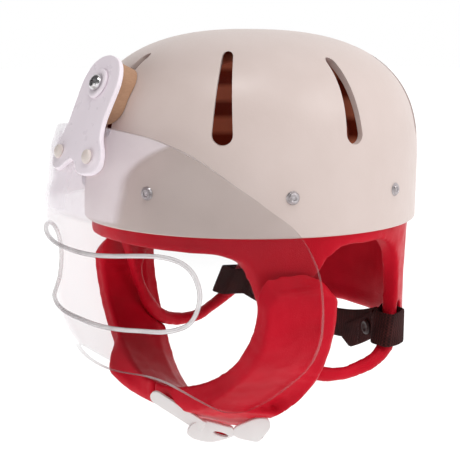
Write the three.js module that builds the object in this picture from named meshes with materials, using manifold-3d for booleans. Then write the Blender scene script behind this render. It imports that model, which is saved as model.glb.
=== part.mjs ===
// Protective helmet: vented hard shell, coated foam liner, jaw pads, clear faceguard and straps.
// Millimetres, +Z up, the face looks along -Y and the wearer's left is +X.

import * as THREE from 'three';
import { mergeVertices } from 'three/addons/utils/BufferGeometryUtils.js';
import Module from 'manifold-3d';

const wasm = await Module();
wasm.setup();

// Driving sizes. Heights are measured from the shell's rim plane.
const GAP = 0.3;
const SHELL = { halfLength: 115, halfWidth: 103.8, height: 122.5, straight: 30, wall: 4.5, rimEdge: 1.2 };
const CROWN_CURVE = { inward: 2.4, upward: 3.0 };
const ROUND_STEPS = { body: 40, seat: 72 };
const CROWN_STEPS = { body: 7, seat: 12 };
const EDGE_STEPS = { lower: 18, ear: 18 };

const VENT = { bottom: 54.9, widthBottom: 12.6, widthTop: 6.8, linerExtra: 1.5 };
const VENT_CUT = { inside: 62, outside: 15 };
const VENTS = [
  { angle: 0, top: 106.5 }, { angle: 46.5, top: 109 }, { angle: 90, top: 106 }, { angle: 135, top: 107 },
  { angle: 180, top: 106.5 }, { angle: 225, top: 107 }, { angle: 270, top: 106 }, { angle: 313.5, top: 109 },
];
const RIVET = { height: 24.5, headRadius: 4.1, headRise: 1.7, shankRadius: 1.7, sides: 8 };
const RIVET_ANGLES = [21.5, 68.5, 110, 157.5, 202.5, 250, 291.5, 338.5];

// Liner: outer half length and wall at each height below the rim.
const FOAM = 12;
const SKIRT = [
  { z: 0, half: 110.2, wall: 12 },
  { z: -25, half: 109, wall: 11.5 },
  { z: -50, half: 107.5, wall: 10.5 },
  { z: -75, half: 105, wall: 8 },
  { z: -104, half: 102, wall: 6.5 },
];
const JAW_NARROWING = { perDepth: 0.0013, fromY: 20, overY: 60 };
const LIMB_FLARE = { most: 0.12, atDepth: 80, fromY: 20, fullY: 50 };

// Side view outlines of the liner's lower edge and ear opening, as [y, z] through smooth curves.
const LOWER_EDGE = [
  [-76, -11], [-69, -13.2], [-63, -16.2], [-58, -22.5], [-54.5, -31], [-50, -42], [-44, -60], [-37, -76],
  [-26, -88], [-12, -94.6], [4, -97], [16, -96.3], [27.5, -91.4], [37, -84.6], [46, -78.6], [53, -71.5],
  [58.5, -62],
];
const BROW_EDGE = { front: -130, z: -9 };
const STRAP_NOTCH = { from: 58.5, to: 66, top: -54 };
const NAPE_EDGE = { z: -76, rear: 130 };
const EAR_OPENING = [
  [-18, -22.5], [-13, -15], [-2, -8.5], [18, -7.4], [36, -8.2], [50, -16], [57, -28], [58, -40], [55, -52],
  [49, -61], [45, -70], [41, -76.5], [28, -85.5], [5, -89.5], [-18, -83], [-31, -70], [-40, -52], [-38, -41],
];
// The opening's wall leans towards the liner's own normal behind the ear, less towards the strap.
const EAR_CUT = { radius: 30, inside: -20, outside: 12, leanFullY: 40, leanFrom: -64, leanOver: 14 };

// Jaw pads: a U of two ovals, one along the front edge and one, a little squarer, along the rear edge.
const PAD = {
  top: -22, topFall: 10, springZ: -35, thick: 15.5, edge: 4, frontEdge: 0.05, rearEdge: 0.09, rearSlope: 0.24,
  front: { half: 91, drop: 71, y: -64, chinY: -78, square: 2 },
  rear: { half: 96, drop: 91, y: -14, chinY: -32, square: 2.15 },
  steps: 11, chinGap: 2, topInset: 0.12, topThin: 4.8,
};
// How far a pad's front swells under the faceguard's edge, by degrees along the U, and its share on the left.
const PAD_LIP = [[48, 0], [57, 13], [62, 13], [77, 5], [87, 0]];
const LEFT_LIP = 0.25;
const PAD_ROOMS = [
  { halfWidth: 57, front: -100, rear: -64, top: -104, floor: -150 },
  { halfWidth: 115, front: -28, rear: 60, top: -30, floor: -165 },
];

// Faceguard sections: half length and half width of the outer face at each height.
const GUARD_WALL = 3;
const GUARD_SQUARE = [[25, 2.35], [45, 2.6]];
const GUARD_SECTIONS = [
  { z: -120, length: 100, width: 62 }, { z: -105, length: 107, width: 78.5 },
  { z: -95, length: 114, width: 88 }, { z: -85, length: 121, width: 98 },
  { z: -75, length: 127, width: 106 }, { z: -60, length: 133, width: 113 },
  { z: -45, length: 135, width: 115 }, { z: -30, length: 136, width: 115.5 },
  { z: 0, length: 141, width: 115.5 }, { z: 18, length: 138, width: 114.5 },
  { z: 25, length: 136, width: 113.2 }, { z: 36, length: 133.6, width: 112.6 },
  { z: 45, length: 131.2, width: 112 }, { z: 63, length: 124.6, width: 109.5 },
];
const GUARD_TOP = [
  [0, 63], [10, 62.2], [28, 58], [45, 47], [57, 32], [65, 20], [71, 10.5], [74.5, 2], [77, -8], [79.5, -26],
];
const GUARD_BOTTOM = [
  [0, -90], [24, -87], [31, -90], [37, -96], [45, -105], [57, -115], [67, -115], [74, -104], [79.5, -82],
];
const GUARD_GRID = { columns: 28, rows: 9 };

// Upper and lower edge of the faceguard's window at each section angle.
const WINDOW_EDGES = [
  { angle: 0, top: -13, bottom: -57 }, { angle: 9, top: -12.3, bottom: -57 },
  { angle: 18, top: -10.4, bottom: -55.8 }, { angle: 26, top: -8.5, bottom: -54.3 },
  { angle: 33, top: -7.7, bottom: -53.4 },
  { angle: 38, top: -8.9, bottom: -51 }, { angle: 41.5, top: -12, bottom: -47.5 },
  { angle: 43.7, top: -17, bottom: -41.5 }, { angle: 45, top: -25, bottom: -33 },
];
const WINDOW_CUT = { outside: 6, inside: 8 };
const GUARD_FILL = { columns: 18, step: 10, rearY: 60, floor: -165, wideBelow: -128, wideAs: -105 };

// Bracket: half width of the plate at each height, on a plane that leans back over the brow.
const PLATE = { thick: 3.5, topY: -110.3, topZ: 105.4, footY: -138.5, footZ: 41.6, columns: 5 };
const PLATE_BEND = { depth: 4.2, atX: 30, upTo: 0.45 };
const PLATE_OUTLINE = [
  [105.4, 3], [104, 9], [101, 14.5], [96, 18.5], [89, 20.8], [76, 20.5], [64, 20.5], [57, 23], [51, 27],
  [46, 28.5], [41, 28.5], [37.5, 25.5], [36, 20],
];
const PLATE_NOTCH = { top: 43, bottom: 30, halfWidth: 14, bulge: 0.4 };
const FOOT_RIVET = {
  x: 17.5, z: 46, headRadius: 4.4, headRise: 3.4, shankRadius: 2, seatOff: 1.9, tail: 3, sides: 10,
};
const SPACER = { halfWidth: 15.5, top: 104, bottom: 69, depth: 40, headRound: 14, footRound: 13 };
const SCREW = { z: 88, headRadius: 5.2, headRise: 3.4, shankRadius: 2.2, bite: 10, sides: 12 };
const RECESS = { long: 5.6, wide: 1.3, deep: 1.6 };
const WASHER = { radius: 9.5, rise: 1.8, bore: 2.6, sides: 14 };

// Nape strap and chin fastener.
const STRAP = { width: 20, thick: 2.4, height: -68, sag: 14, endX: 73.2, endY: 51, bow: 12, steps: 8 };
const STRAP_LOOP = { frontY: 41.2, rearY: 59.6, tilt: 0.35, outside: 2.6, inside: 1.9 };
const STRAP_TAIL = { reach: 30, width: 17, drop: 7, lift: 2.2 };
const SNAP = { x: 61, radius: 5.2, rise: 2.2, sides: 10 };
const CHIN = { buckle: [38, -57, -132.5], tongueEnd: [8, -82, -111.5], tabEnd: [60, -24, -131.5] };
const CHIN_FACE = [0.6, -0.75, -0.2];
const TONGUE = { from: 14, width: 9, thick: 2.2, lift: 0 };
const BUCKLE = { from: -12, to: 13.7, width: 16.5, thick: 5, lift: -1.4 };
const BUCKLE_SLOT = { from: -6, to: 4, width: 3, thick: 12, lift: -5 };
const TAB = { from: 12.5, width: 18, thick: 2.2, lift: 0 };

const CREAM = 0xd8cac2;
const RED = 0xc81e32;
const MILKY = 0xd9cdd2;
const ALUMINIUM = 0xb9b4b6;

function material(color, roughness, metalness = 0, opacity = 1) {
  return new THREE.MeshStandardMaterial({ color, roughness, metalness, opacity, transparent: opacity < 1 });
}

// Straight-line value of a two-column table at a given key.
function along(table, key) {
  const last = table.length - 1;
  const rising = table[last][0] > table[0][0];
  for (let i = 0; i < last; i++) {
    const [from, to] = [table[i], table[i + 1]];
    if (rising ? key <= to[0] : key >= to[0]) {
      const share = (key - from[0]) / (to[0] - from[0]);
      return from[1] + (to[1] - from[1]) * Math.max(share, 0);
    }
  }
  return table[last][1];
}

function signedVolume(points, triangles) {
  return triangles.reduce((sum, [a, b, c]) => {
    const [p, q, r] = [points[a], points[b], points[c]];
    return sum + p.dot(new THREE.Vector3().crossVectors(q, r)) / 6;
  }, 0);
}

// Closed solid from points and triangles, turned so that its faces look outwards.
function solidFrom(points, triangles) {
  const outward = signedVolume(points, triangles) > 0;
  const faces = outward ? triangles : triangles.map(([a, b, c]) => [a, c, b]);
  return new wasm.Manifold(new wasm.Mesh({
    numProp: 3,
    vertProperties: new Float32Array(points.flatMap((point) => point.toArray())),
    triVerts: new Uint32Array(faces.flat()),
  }));
}

function solidOf(source) {
  const geometry = source.clone();
  geometry.deleteAttribute('normal');
  geometry.deleteAttribute('uv');
  const welded = mergeVertices(geometry, 1e-3);
  const place = welded.getAttribute('position');
  const points = Array.from({ length: place.count }, (_, i) => {
    return new THREE.Vector3().fromBufferAttribute(place, i);
  });
  const index = Array.from(welded.index.array);
  const triangles = [];
  for (let i = 0; i < index.length; i += 3) {
    const [a, b, c] = index.slice(i, i + 3);
    if (a !== b && b !== c && c !== a) {
      triangles.push([a, b, c]);
    }
  }
  return solidFrom(points, triangles);
}

function meshOf(name, solid, look) {
  const { vertProperties, triVerts } = solid.getMesh();
  const geometry = new THREE.BufferGeometry();
  geometry.setAttribute('position', new THREE.BufferAttribute(vertProperties, 3));
  geometry.setIndex(new THREE.BufferAttribute(triVerts, 1));
  const flat = geometry.toNonIndexed();
  flat.computeVertexNormals();
  const mesh = new THREE.Mesh(flat, look);
  mesh.name = name;
  return mesh;
}

// Solid between an outer and an inner grid of points that share one open border.
function sheet(outer, inner) {
  const [rows, columns] = [outer.length, outer[0].length];
  const at = (row, column, layer) => layer * rows * columns + row * columns + column;
  const points = [...outer.flat(), ...inner.flat()];
  const triangles = [];
  const quad = (a, b, c, d) => triangles.push([a, b, c], [a, c, d]);
  for (let r = 0; r + 1 < rows; r++) {
    for (let c = 0; c + 1 < columns; c++) {
      quad(at(r, c, 0), at(r, c + 1, 0), at(r + 1, c + 1, 0), at(r + 1, c, 0));
      quad(at(r, c, 1), at(r + 1, c, 1), at(r + 1, c + 1, 1), at(r, c + 1, 1));
    }
  }
  for (let r = 0; r + 1 < rows; r++) {
    quad(at(r, 0, 0), at(r + 1, 0, 0), at(r + 1, 0, 1), at(r, 0, 1));
    quad(at(r, columns - 1, 0), at(r, columns - 1, 1), at(r + 1, columns - 1, 1), at(r + 1, columns - 1, 0));
  }
  for (let c = 0; c + 1 < columns; c++) {
    quad(at(0, c, 0), at(0, c, 1), at(0, c + 1, 1), at(0, c + 1, 0));
    quad(at(rows - 1, c, 0), at(rows - 1, c + 1, 0), at(rows - 1, c + 1, 1), at(rows - 1, c, 1));
  }
  return solidFrom(points, triangles);
}

// Solid lofted through closed sections with the same number of points, closed by fans at both ends.
function loft(sections) {
  const count = sections[0].length;
  const points = sections.flat();
  const triangles = [];
  for (let s = 0; s + 1 < sections.length; s++) {
    for (let i = 0; i < count; i++) {
      const next = (i + 1) % count;
      const [a, b] = [s * count + i, s * count + next];
      triangles.push([a, b, b + count], [a, b + count, a + count]);
    }
  }
  for (const [start, flip] of [[0, true], [(sections.length - 1) * count, false]]) {
    for (let i = 1; i + 1 < count; i++) {
      const fan = [start, start + i, start + i + 1];
      triangles.push(flip ? fan.reverse() : fan);
    }
  }
  return solidFrom(points, triangles);
}

// Turned solid about +Z from a profile of [radius, height] that starts and ends on the axis.
function turned(profile, sides) {
  const points = profile.map(([radius, height]) => new THREE.Vector2(radius, height));
  return new THREE.LatheGeometry(points, sides).rotateX(Math.PI / 2);
}

// Flat outline pushed along the third axis of a frame given by its origin and three directions.
function pushed(shape, depth, origin, across, upward, outward, curveSegments = 3) {
  const geometry = new THREE.ExtrudeGeometry(shape, { depth, bevelEnabled: false, curveSegments });
  const frame = new THREE.Matrix4().makeBasis(across, upward, outward).setPosition(origin);
  return solidOf(geometry.applyMatrix4(frame));
}

const X_AXIS = new THREE.Vector3(1, 0, 0);
const Y_AXIS = new THREE.Vector3(0, 1, 0);
const Z_AXIS = new THREE.Vector3(0, 0, 1);

function smoothOutline(points, closed, divisions) {
  const places = points.map(([y, z]) => new THREE.Vector3(y, z, 0));
  const curve = new THREE.CatmullRomCurve3(places, closed, 'centripetal');
  return curve.getPoints(divisions).map(({ x, y }) => new THREE.Vector2(x, y));
}

// Crown outline from the axis down to the straight wall, in steps that crowd towards the bend.
function crown(inset, steps) {
  return Array.from({ length: steps + 1 }, (_, i) => {
    const turn = (Math.PI / 2) * (i / steps);
    const reach = Math.sin(turn) ** (2 / CROWN_CURVE.inward);
    const rise = Math.max(Math.cos(turn), 0) ** (2 / CROWN_CURVE.upward);
    const high = SHELL.height - inset - SHELL.straight;
    return [(SHELL.halfLength - inset) * reach, SHELL.straight + high * rise];
  });
}

const ovalScale = SHELL.halfWidth / SHELL.halfLength;

function oval(profile, sides) {
  return turned(profile, sides).scale(ovalScale, 1, 1);
}

// Place on the shell's outer wall at a section angle from the face towards the wearer's left.
function onShell(degrees, height) {
  const turn = THREE.MathUtils.degToRad(degrees);
  const [sin, cos] = [Math.sin(turn), Math.cos(turn)];
  const point = new THREE.Vector3(SHELL.halfWidth * sin, -SHELL.halfLength * cos, height);
  const normal = new THREE.Vector3(sin / SHELL.halfWidth, -cos / SHELL.halfLength, 0).normalize();
  return { point, normal };
}

function ventCutter({ angle, top }, extra) {
  const { point, normal: outward } = onShell(angle, 0);
  const low = VENT.widthBottom / 2 + extra;
  const high = VENT.widthTop / 2 + extra;
  const shape = new THREE.Shape();
  shape.absarc(0, VENT.bottom + low - extra, low, Math.PI, 2 * Math.PI, false);
  shape.absarc(0, top - high + extra, high, 0, Math.PI, false);
  const across = new THREE.Vector3().crossVectors(Z_AXIS, outward);
  const origin = point.addScaledVector(outward, -VENT_CUT.inside);
  return pushed(shape, VENT_CUT.inside + VENT_CUT.outside, origin, across, Z_AXIS, outward, 2);
}

function cutVents(solid, extra) {
  return VENTS.reduce((left, vent) => left.subtract(ventCutter(vent, extra)), solid);
}

// Turned piece whose own axis is laid along a normal at a point.
function turnedAt(profile, sides, point, normal) {
  const turn = new THREE.Quaternion().setFromUnitVectors(Z_AXIS, normal);
  return solidOf(turned(profile, sides).applyQuaternion(turn).translate(...point.toArray()));
}

function shellSolid() {
  const outer = crown(0, CROWN_STEPS.body);
  const inner = crown(SHELL.wall, CROWN_STEPS.body).reverse();
  const { halfLength: half, wall, rimEdge } = SHELL;
  const rim = [[half, rimEdge], [half - rimEdge, 0], [half - wall, 0]];
  const body = cutVents(solidOf(oval([...outer, ...rim, ...inner], ROUND_STEPS.body)), 0);
  return RIVET_ANGLES.reduce((left, degrees) => {
    const { point, normal } = onShell(degrees, RIVET.height);
    const radius = RIVET.shankRadius + GAP;
    const deep = 2 * SHELL.wall;
    const hole = [[0, deep], [radius, deep], [radius, -deep], [0, -deep]];
    return left.subtract(turnedAt(hole, RIVET.sides, point, normal));
  }, body);
}

function rivetSolid(degrees) {
  const { point, normal } = onShell(degrees, RIVET.height);
  const { headRadius: head, headRise: rise, shankRadius: shank } = RIVET;
  const seat = point.clone().addScaledVector(normal, GAP);
  const profile = [
    [0, rise * 0.5], [head * 0.4, rise * 0.5], [head * 0.5, rise], [head, rise * 0.4], [head, 0],
    [shank, 0], [shank, -SHELL.wall], [0, -SHELL.wall],
  ];
  return turnedAt(profile, RIVET.sides, seat, normal);
}

// Width factor of the liner's skirt: narrower towards the jaw, wider at the limbs behind the ears.
function skirtWidth(y, z) {
  const depth = Math.max(-z, 0);
  const front = THREE.MathUtils.clamp((JAW_NARROWING.fromY - y) / JAW_NARROWING.overY, 0, 1);
  const { most, atDepth, fromY, fullY } = LIMB_FLARE;
  const rear = THREE.MathUtils.clamp((y - fromY) / (fullY - fromY), 0, 1);
  return 1 - JAW_NARROWING.perDepth * depth * front + most * (depth / atDepth) ** 3 * rear;
}

function shapeSkirt(geometry) {
  const place = geometry.getAttribute('position');
  for (let i = 0; i < place.count; i++) {
    place.setX(i, place.getX(i) * skirtWidth(place.getY(i), place.getZ(i)));
  }
  return geometry;
}

function acrossBody(outline) {
  const reach = 160;
  const origin = new THREE.Vector3(-reach, 0, 0);
  return pushed(new THREE.Shape(outline), 2 * reach, origin, Y_AXIS, Z_AXIS, X_AXIS);
}

// Everything below the liner's lower edge, seen from the side, moved outwards by a clearance.
function belowLiner(grow) {
  const floor = -160;
  const edge = smoothOutline(LOWER_EDGE, false, EDGE_STEPS.lower);
  const outline = [
    [BROW_EDGE.front, floor], [BROW_EDGE.front, BROW_EDGE.z], ...edge.map(({ x, y }) => [x, y]),
    [STRAP_NOTCH.from, edge.at(-1).y], [STRAP_NOTCH.from, STRAP_NOTCH.top], [STRAP_NOTCH.to, STRAP_NOTCH.top],
    [STRAP_NOTCH.to, NAPE_EDGE.z], [NAPE_EDGE.rear, NAPE_EDGE.z], [NAPE_EDGE.rear, floor],
  ];
  return acrossBody(outline.map(([y, z]) => new THREE.Vector2(y - grow, z - grow)));
}

// Ear opening on one side, shrunk by a clearance.
function earCutter(side, grow) {
  const outline = smoothOutline(EAR_OPENING, true, EDGE_STEPS.ear).slice(0, -1);
  const centre = outline.reduce((sum, p) => sum.add(p), new THREE.Vector2()).divideScalar(outline.length);
  const shrink = 1 - grow / EAR_CUT.radius;
  const places = outline.map((p) => p.clone().sub(centre).multiplyScalar(shrink).add(centre));
  const { inside, outside, leanFullY, leanFrom, leanOver } = EAR_CUT;
  return loft([inside, outside].map((offset) => places.map(({ x: y, y: z }) => {
    const half = along(SKIRT.map((ring) => [ring.z, ring.half]), z);
    const width = ovalScale * half * skirtWidth(y, z);
    const x = width * Math.sqrt(1 - (y / half) ** 2);
    const { clamp } = THREE.MathUtils;
    const lean = clamp(y / leanFullY, 0, 1) * clamp((z - leanFrom) / leanOver, 0, 1);
    const normal = new THREE.Vector2(x / width ** 2, (lean * y) / half ** 2).normalize();
    return new THREE.Vector3(side * (x + offset * normal.x), y + offset * normal.y, z);
  })));
}

function earOpening(grow) {
  return earCutter(-1, grow).add(earCutter(1, grow));
}

function skirtProfile(grow) {
  const outer = SKIRT.map(({ z, half }) => [half + grow, z]);
  const inner = SKIRT.map(({ z, half, wall }) => [half - wall - grow, z]).reverse();
  return { outer, inner };
}

function linerSolid() {
  const inset = SHELL.wall + GAP;
  const { outer, inner } = skirtProfile(0);
  const profile = [
    ...crown(inset, CROWN_STEPS.body), ...outer, ...inner, ...crown(inset + FOAM, CROWN_STEPS.body).reverse(),
  ];
  const body = solidOf(shapeSkirt(oval(profile, ROUND_STEPS.body)));
  return cutVents(body.subtract(belowLiner(0)).subtract(earOpening(0)), VENT.linerExtra);
}

// The liner's skirt alone, a clearance larger, to seat its neighbours.
function skirtSeat() {
  const { outer, inner } = skirtProfile(GAP);
  const ring = [...outer, ...inner, outer[0]];
  const body = solidOf(shapeSkirt(oval(ring, ROUND_STEPS.body)));
  return body.subtract(belowLiner(GAP)).subtract(earOpening(GAP));
}

// Point of the faceguard's outer face at a section angle and height, moved out by an offset.
function guardPoint(degrees, z, offset) {
  const turn = THREE.MathUtils.degToRad(degrees);
  const length = along(GUARD_SECTIONS.map((s) => [s.z, s.length]), z) + offset;
  const width = along(GUARD_SECTIONS.map((s) => [s.z, s.width]), z) + offset;
  const power = 2 / along(GUARD_SQUARE, z);
  const across = Math.sign(turn) * Math.abs(Math.sin(turn)) ** power;
  const ahead = Math.max(Math.cos(turn), 0) ** power;
  return new THREE.Vector3(width * across, -length * ahead, z);
}

function guardGrid(offset) {
  const reach = GUARD_TOP.at(-1)[0];
  return Array.from({ length: GUARD_GRID.columns + 1 }, (_, c) => {
    const degrees = reach * (2 * (c / GUARD_GRID.columns) - 1);
    const top = along(GUARD_TOP, Math.abs(degrees));
    const bottom = along(GUARD_BOTTOM, Math.abs(degrees));
    return Array.from({ length: GUARD_GRID.rows + 1 }, (_, r) => {
      const z = bottom + (top - bottom) * (r / GUARD_GRID.rows);
      return guardPoint(degrees, z, offset);
    });
  });
}

// The window as a wide rounded opening that follows the guard's curve.
function windowCutter() {
  const near = WINDOW_EDGES.slice(1);
  const far = near.map((edge) => ({ ...edge, angle: -edge.angle })).reverse();
  const columns = [...far, WINDOW_EDGES[0], ...near];
  const layer = (offset) => columns.map(({ angle, top, bottom }) => {
    return [bottom, top].map((z) => guardPoint(angle, z, offset));
  });
  return sheet(layer(WINDOW_CUT.outside), layer(-GUARD_WALL - WINDOW_CUT.inside));
}

function guardSolid() {
  const holes = [-1, 1].map((side) => footRivetCutter(side, FOOT_RIVET.shankRadius + GAP));
  const bare = sheet(guardGrid(0), guardGrid(-GUARD_WALL)).subtract(windowCutter());
  return holes.reduce((left, hole) => left.subtract(hole), bare);
}

// Inside of the faceguard as a full solid, open downwards, which the jaw pads are pressed against.
function guardInside() {
  const { columns, rearY, floor, step, wideBelow, wideAs } = GUARD_FILL;
  const levels = [[floor, wideAs], [wideBelow, wideAs], ...GUARD_SECTIONS.map(({ z }) => [z, z])];
  return loft(levels.map(([z, shapeZ]) => {
    const front = Array.from({ length: columns + 1 }, (_, i) => {
      return guardPoint(i * step - 90, shapeZ, -GUARD_WALL - GAP).setZ(z);
    });
    const [first, last] = [front[0], front.at(-1)];
    return [...front, new THREE.Vector3(last.x, rearY, z), new THREE.Vector3(first.x, rearY, z)];
  }));
}

// Room for the pads: inside the faceguard, below its front edge and behind its rear edge.
function padRoom() {
  return PAD_ROOMS.reduce((room, { halfWidth, front, rear, top, floor }) => {
    const block = new THREE.BoxGeometry(2 * halfWidth, rear - front, top - floor);
    return room.add(solidOf(block.translate(0, (front + rear) / 2, (top + floor) / 2)));
  }, guardInside());
}

// Jaw pad section at a place along the U, from the ear at 0 to the chin at 1.
function padSection(share, side, inset, thin) {
  const turn = (Math.PI / 2) * Math.max(share, 0);
  const chin = Math.sin(turn) ** 4;
  const lip = along(PAD_LIP, THREE.MathUtils.radToDeg(turn)) * (side > 0 ? LEFT_LIP : 1);
  const place = (u, out) => {
    const half = PAD.front.half + (PAD.rear.half - PAD.front.half) * u;
    const drop = PAD.front.drop + (PAD.rear.drop - PAD.front.drop) * u;
    const front = PAD.front.y + (PAD.front.chinY - PAD.front.y) * chin;
    const rear = PAD.rear.y + (PAD.rear.chinY - PAD.rear.y) * chin;
    const power = 2 / (PAD.front.square + (PAD.rear.square - PAD.front.square) * u);
    const [across, down] = [Math.cos(turn) ** power, Math.sin(turn) ** power];
    const normal = new THREE.Vector2(Math.cos(turn) / half, Math.sin(turn) / drop).normalize();
    const top = PAD.top - PAD.topFall * (out / PAD.thick);
    const rise = Math.max(-share, 0) * (top - PAD.springZ);
    const x = half * across + out * normal.x;
    const z = PAD.springZ + rise - drop * down - out * normal.y;
    const swell = lip * (1 - u) ** 2 * (out / PAD.thick);
    return new THREE.Vector3(side * x, front + (rear - front) * u - swell, z);
  };
  const [low, high] = [inset, 1 - inset];
  const { edge, frontEdge, rearEdge, rearSlope } = PAD;
  const full = PAD.thick - thin;
  return [
    place(low, edge / 2), place(low, full - edge), place(low + frontEdge, full), place(high - rearEdge, full),
    place(high, full - edge), place(high, edge), place(high - rearSlope, 0), place(low + frontEdge / 2, 0),
  ];
}

function padSolid(side) {
  const chinShare = 1 - (2 / Math.PI) * Math.asin(PAD.chinGap / PAD.front.half);
  const stations = Array.from({ length: PAD.steps + 1 }, (_, i) => (chinShare * i) / PAD.steps);
  const sections = [
    padSection(-1, side, PAD.topInset, PAD.topThin), padSection(-0.6, side, 0, 0),
    ...stations.map((share) => padSection(share, side, 0, 0)),
  ];
  const guard = sheet(guardGrid(GAP), guardGrid(-GUARD_WALL - GAP));
  const below = guard.translate(0, 0, -GAP);
  const pressed = loft(sections).intersect(padRoom()).subtract(skirtSeat()).subtract(guard).subtract(below);
  return Object.values(chinSolids(GAP)).reduce((left, piece) => left.subtract(piece), pressed);
}

// Bracket plate: leans from its foot to its top and follows the guard's curve at its feet.
function platePoint(share, z, offset) {
  const half = along(PLATE_OUTLINE, z);
  const x = half * share;
  const lean = (z - PLATE.footZ) / (PLATE.topZ - PLATE.footZ);
  const flat = PLATE.footY + (PLATE.topY - PLATE.footY) * lean;
  const { depth, atX, upTo } = PLATE_BEND;
  const bend = depth * (x / atX) ** 2 * THREE.MathUtils.clamp(1 - lean / upTo, 0, 1);
  return new THREE.Vector3(x, flat + bend, z).addScaledVector(plateNormal, offset);
}

const plateNormal = new THREE.Vector3(0, PLATE.footZ - PLATE.topZ, PLATE.topY - PLATE.footY).normalize();
const plateUp = new THREE.Vector3().crossVectors(plateNormal, X_AXIS);

function plateGrid(offset) {
  return PLATE_OUTLINE.map(([z]) => Array.from({ length: PLATE.columns + 1 }, (_, c) => {
    return platePoint(2 * (c / PLATE.columns) - 1, z, offset);
  }));
}

function plateCentre(z, offset) {
  return platePoint(0, z, offset);
}

function footRivetCutter(side, radius) {
  const reach = 30;
  const seat = platePoint((side * FOOT_RIVET.x) / along(PLATE_OUTLINE, FOOT_RIVET.z), FOOT_RIVET.z, 0);
  const profile = [[0, reach], [radius, reach], [radius, -reach], [0, -reach]];
  return turnedAt(profile, FOOT_RIVET.sides, seat, new THREE.Vector3(0, -1, 0));
}

function bracketSolid() {
  const { top, bottom, halfWidth: half, bulge } = PLATE_NOTCH;
  const notch = new THREE.Shape();
  notch.moveTo(-half, bottom);
  notch.lineTo(half, bottom);
  notch.quadraticCurveTo(half * bulge, top, 0, top);
  notch.quadraticCurveTo(-half * bulge, top, -half, bottom);
  const forward = new THREE.Vector3(0, -1, 0);
  const behind = new THREE.Vector3(0, PLATE.topY, 0);
  const cutter = pushed(notch, 2 * (PLATE.topY - PLATE.footY), behind, X_AXIS, Z_AXIS, forward);
  const bore = SCREW.shankRadius + GAP;
  const deep = 4 * PLATE.thick;
  const hole = [[0, deep], [bore, deep], [bore, -deep], [0, -deep]];
  const holes = [-1, 1].map((side) => footRivetCutter(side, FOOT_RIVET.shankRadius + GAP));
  holes.push(cutter, turnedAt(hole, SCREW.sides, plateCentre(SCREW.z, 0), plateNormal));
  return holes.reduce((left, cut) => left.subtract(cut), sheet(plateGrid(0), plateGrid(-PLATE.thick)));
}

function spacerSolid() {
  const { halfWidth: half, top, bottom, depth, headRound, footRound } = SPACER;
  const along = (z) => plateCentre(z, 0).sub(plateCentre(SCREW.z, 0)).dot(plateUp);
  const shape = new THREE.Shape();
  shape.absellipse(0, along(top) - headRound, half, headRound, 0, Math.PI, false, 0);
  shape.absellipse(0, along(bottom) + footRound, half, footRound, Math.PI, 2 * Math.PI, false, 0);
  const bore = new THREE.Path().absarc(0, 0, SCREW.shankRadius + GAP, 0, 2 * Math.PI, false);
  shape.holes.push(bore);
  const face = plateCentre(SCREW.z, -PLATE.thick - GAP);
  const origin = face.clone().addScaledVector(plateNormal, -depth);
  const block = pushed(shape, depth, origin, X_AXIS, plateUp, plateNormal, 5);
  const wall = crown(-GAP, CROWN_STEPS.seat);
  const dome = solidOf(oval([...wall, [SHELL.halfLength + GAP, 0], [0, 0]], ROUND_STEPS.seat));
  return block.subtract(dome);
}

function washerSolid() {
  const { radius, rise, bore } = WASHER;
  const seat = plateCentre(SCREW.z, GAP);
  const ring = [[bore, 0], [radius, 0], [radius, rise * 0.6], [radius - 1.2, rise], [bore, rise], [bore, 0]];
  return turnedAt(ring, WASHER.sides, seat, plateNormal);
}

function screwSolid() {
  const { headRadius: head, headRise: rise, shankRadius: shank, bite } = SCREW;
  const seat = plateCentre(SCREW.z, WASHER.rise + 2 * GAP);
  const length = WASHER.rise + PLATE.thick + 3 * GAP + bite;
  const profile = [
    [0, rise], [head * 0.55, rise * 0.94], [head * 0.9, rise * 0.6], [head, 0], [shank, 0], [shank, -length],
    [0, -length],
  ];
  const body = turnedAt(profile, SCREW.sides, seat, plateNormal);
  const crown = plateCentre(SCREW.z, WASHER.rise + 2 * GAP + rise - RECESS.deep);
  return [X_AXIS, plateUp].reduce((left, across) => {
    const upward = new THREE.Vector3().crossVectors(plateNormal, across);
    const [a, b] = [RECESS.long / 2, RECESS.wide / 2];
    const slot = [[-a, -b], [a, -b], [a, b], [-a, b]].map(([u, v]) => new THREE.Vector2(u, v));
    return left.subtract(pushed(new THREE.Shape(slot), 5, crown, across, upward, plateNormal));
  }, body);
}

function footRivetSolid(side) {
  const { headRadius: head, headRise: rise, shankRadius: shank, seatOff, x, z, sides } = FOOT_RIVET;
  const forward = new THREE.Vector3(0, -1, 0);
  const seat = platePoint((side * x) / along(PLATE_OUTLINE, z), z, 0);
  const length = PLATE.thick + GUARD_WALL + FOOT_RIVET.tail;
  const profile = [
    [0, rise], [head * 0.8, rise * 0.85], [head, rise * 0.5], [head, seatOff], [shank, seatOff],
    [shank, -length], [0, -length],
  ];
  return turnedAt(profile, sides, seat, forward);
}

// Nape strap: one band behind the neck with a closed loop round each ear ring and a short tail.
function strapBand(width, reachFrom, reachTo, lift, drop) {
  const rows = Array.from({ length: STRAP.steps + 1 }, (_, i) => {
    const x = reachFrom + (reachTo - reachFrom) * (i / STRAP.steps);
    const middle = 1 - (x / STRAP.endX) ** 2;
    const y = STRAP.endY + STRAP.bow * middle;
    const z = STRAP.height - STRAP.sag * middle - drop * (i / STRAP.steps);
    const corner = (dy, dz) => new THREE.Vector3(x, y + dy - lift, z + dz);
    const [half, thick] = [width / 2, STRAP.thick];
    return [corner(0, -half), corner(thick, -half), corner(thick, half), corner(0, half)];
  });
  return loft(rows);
}

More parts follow.
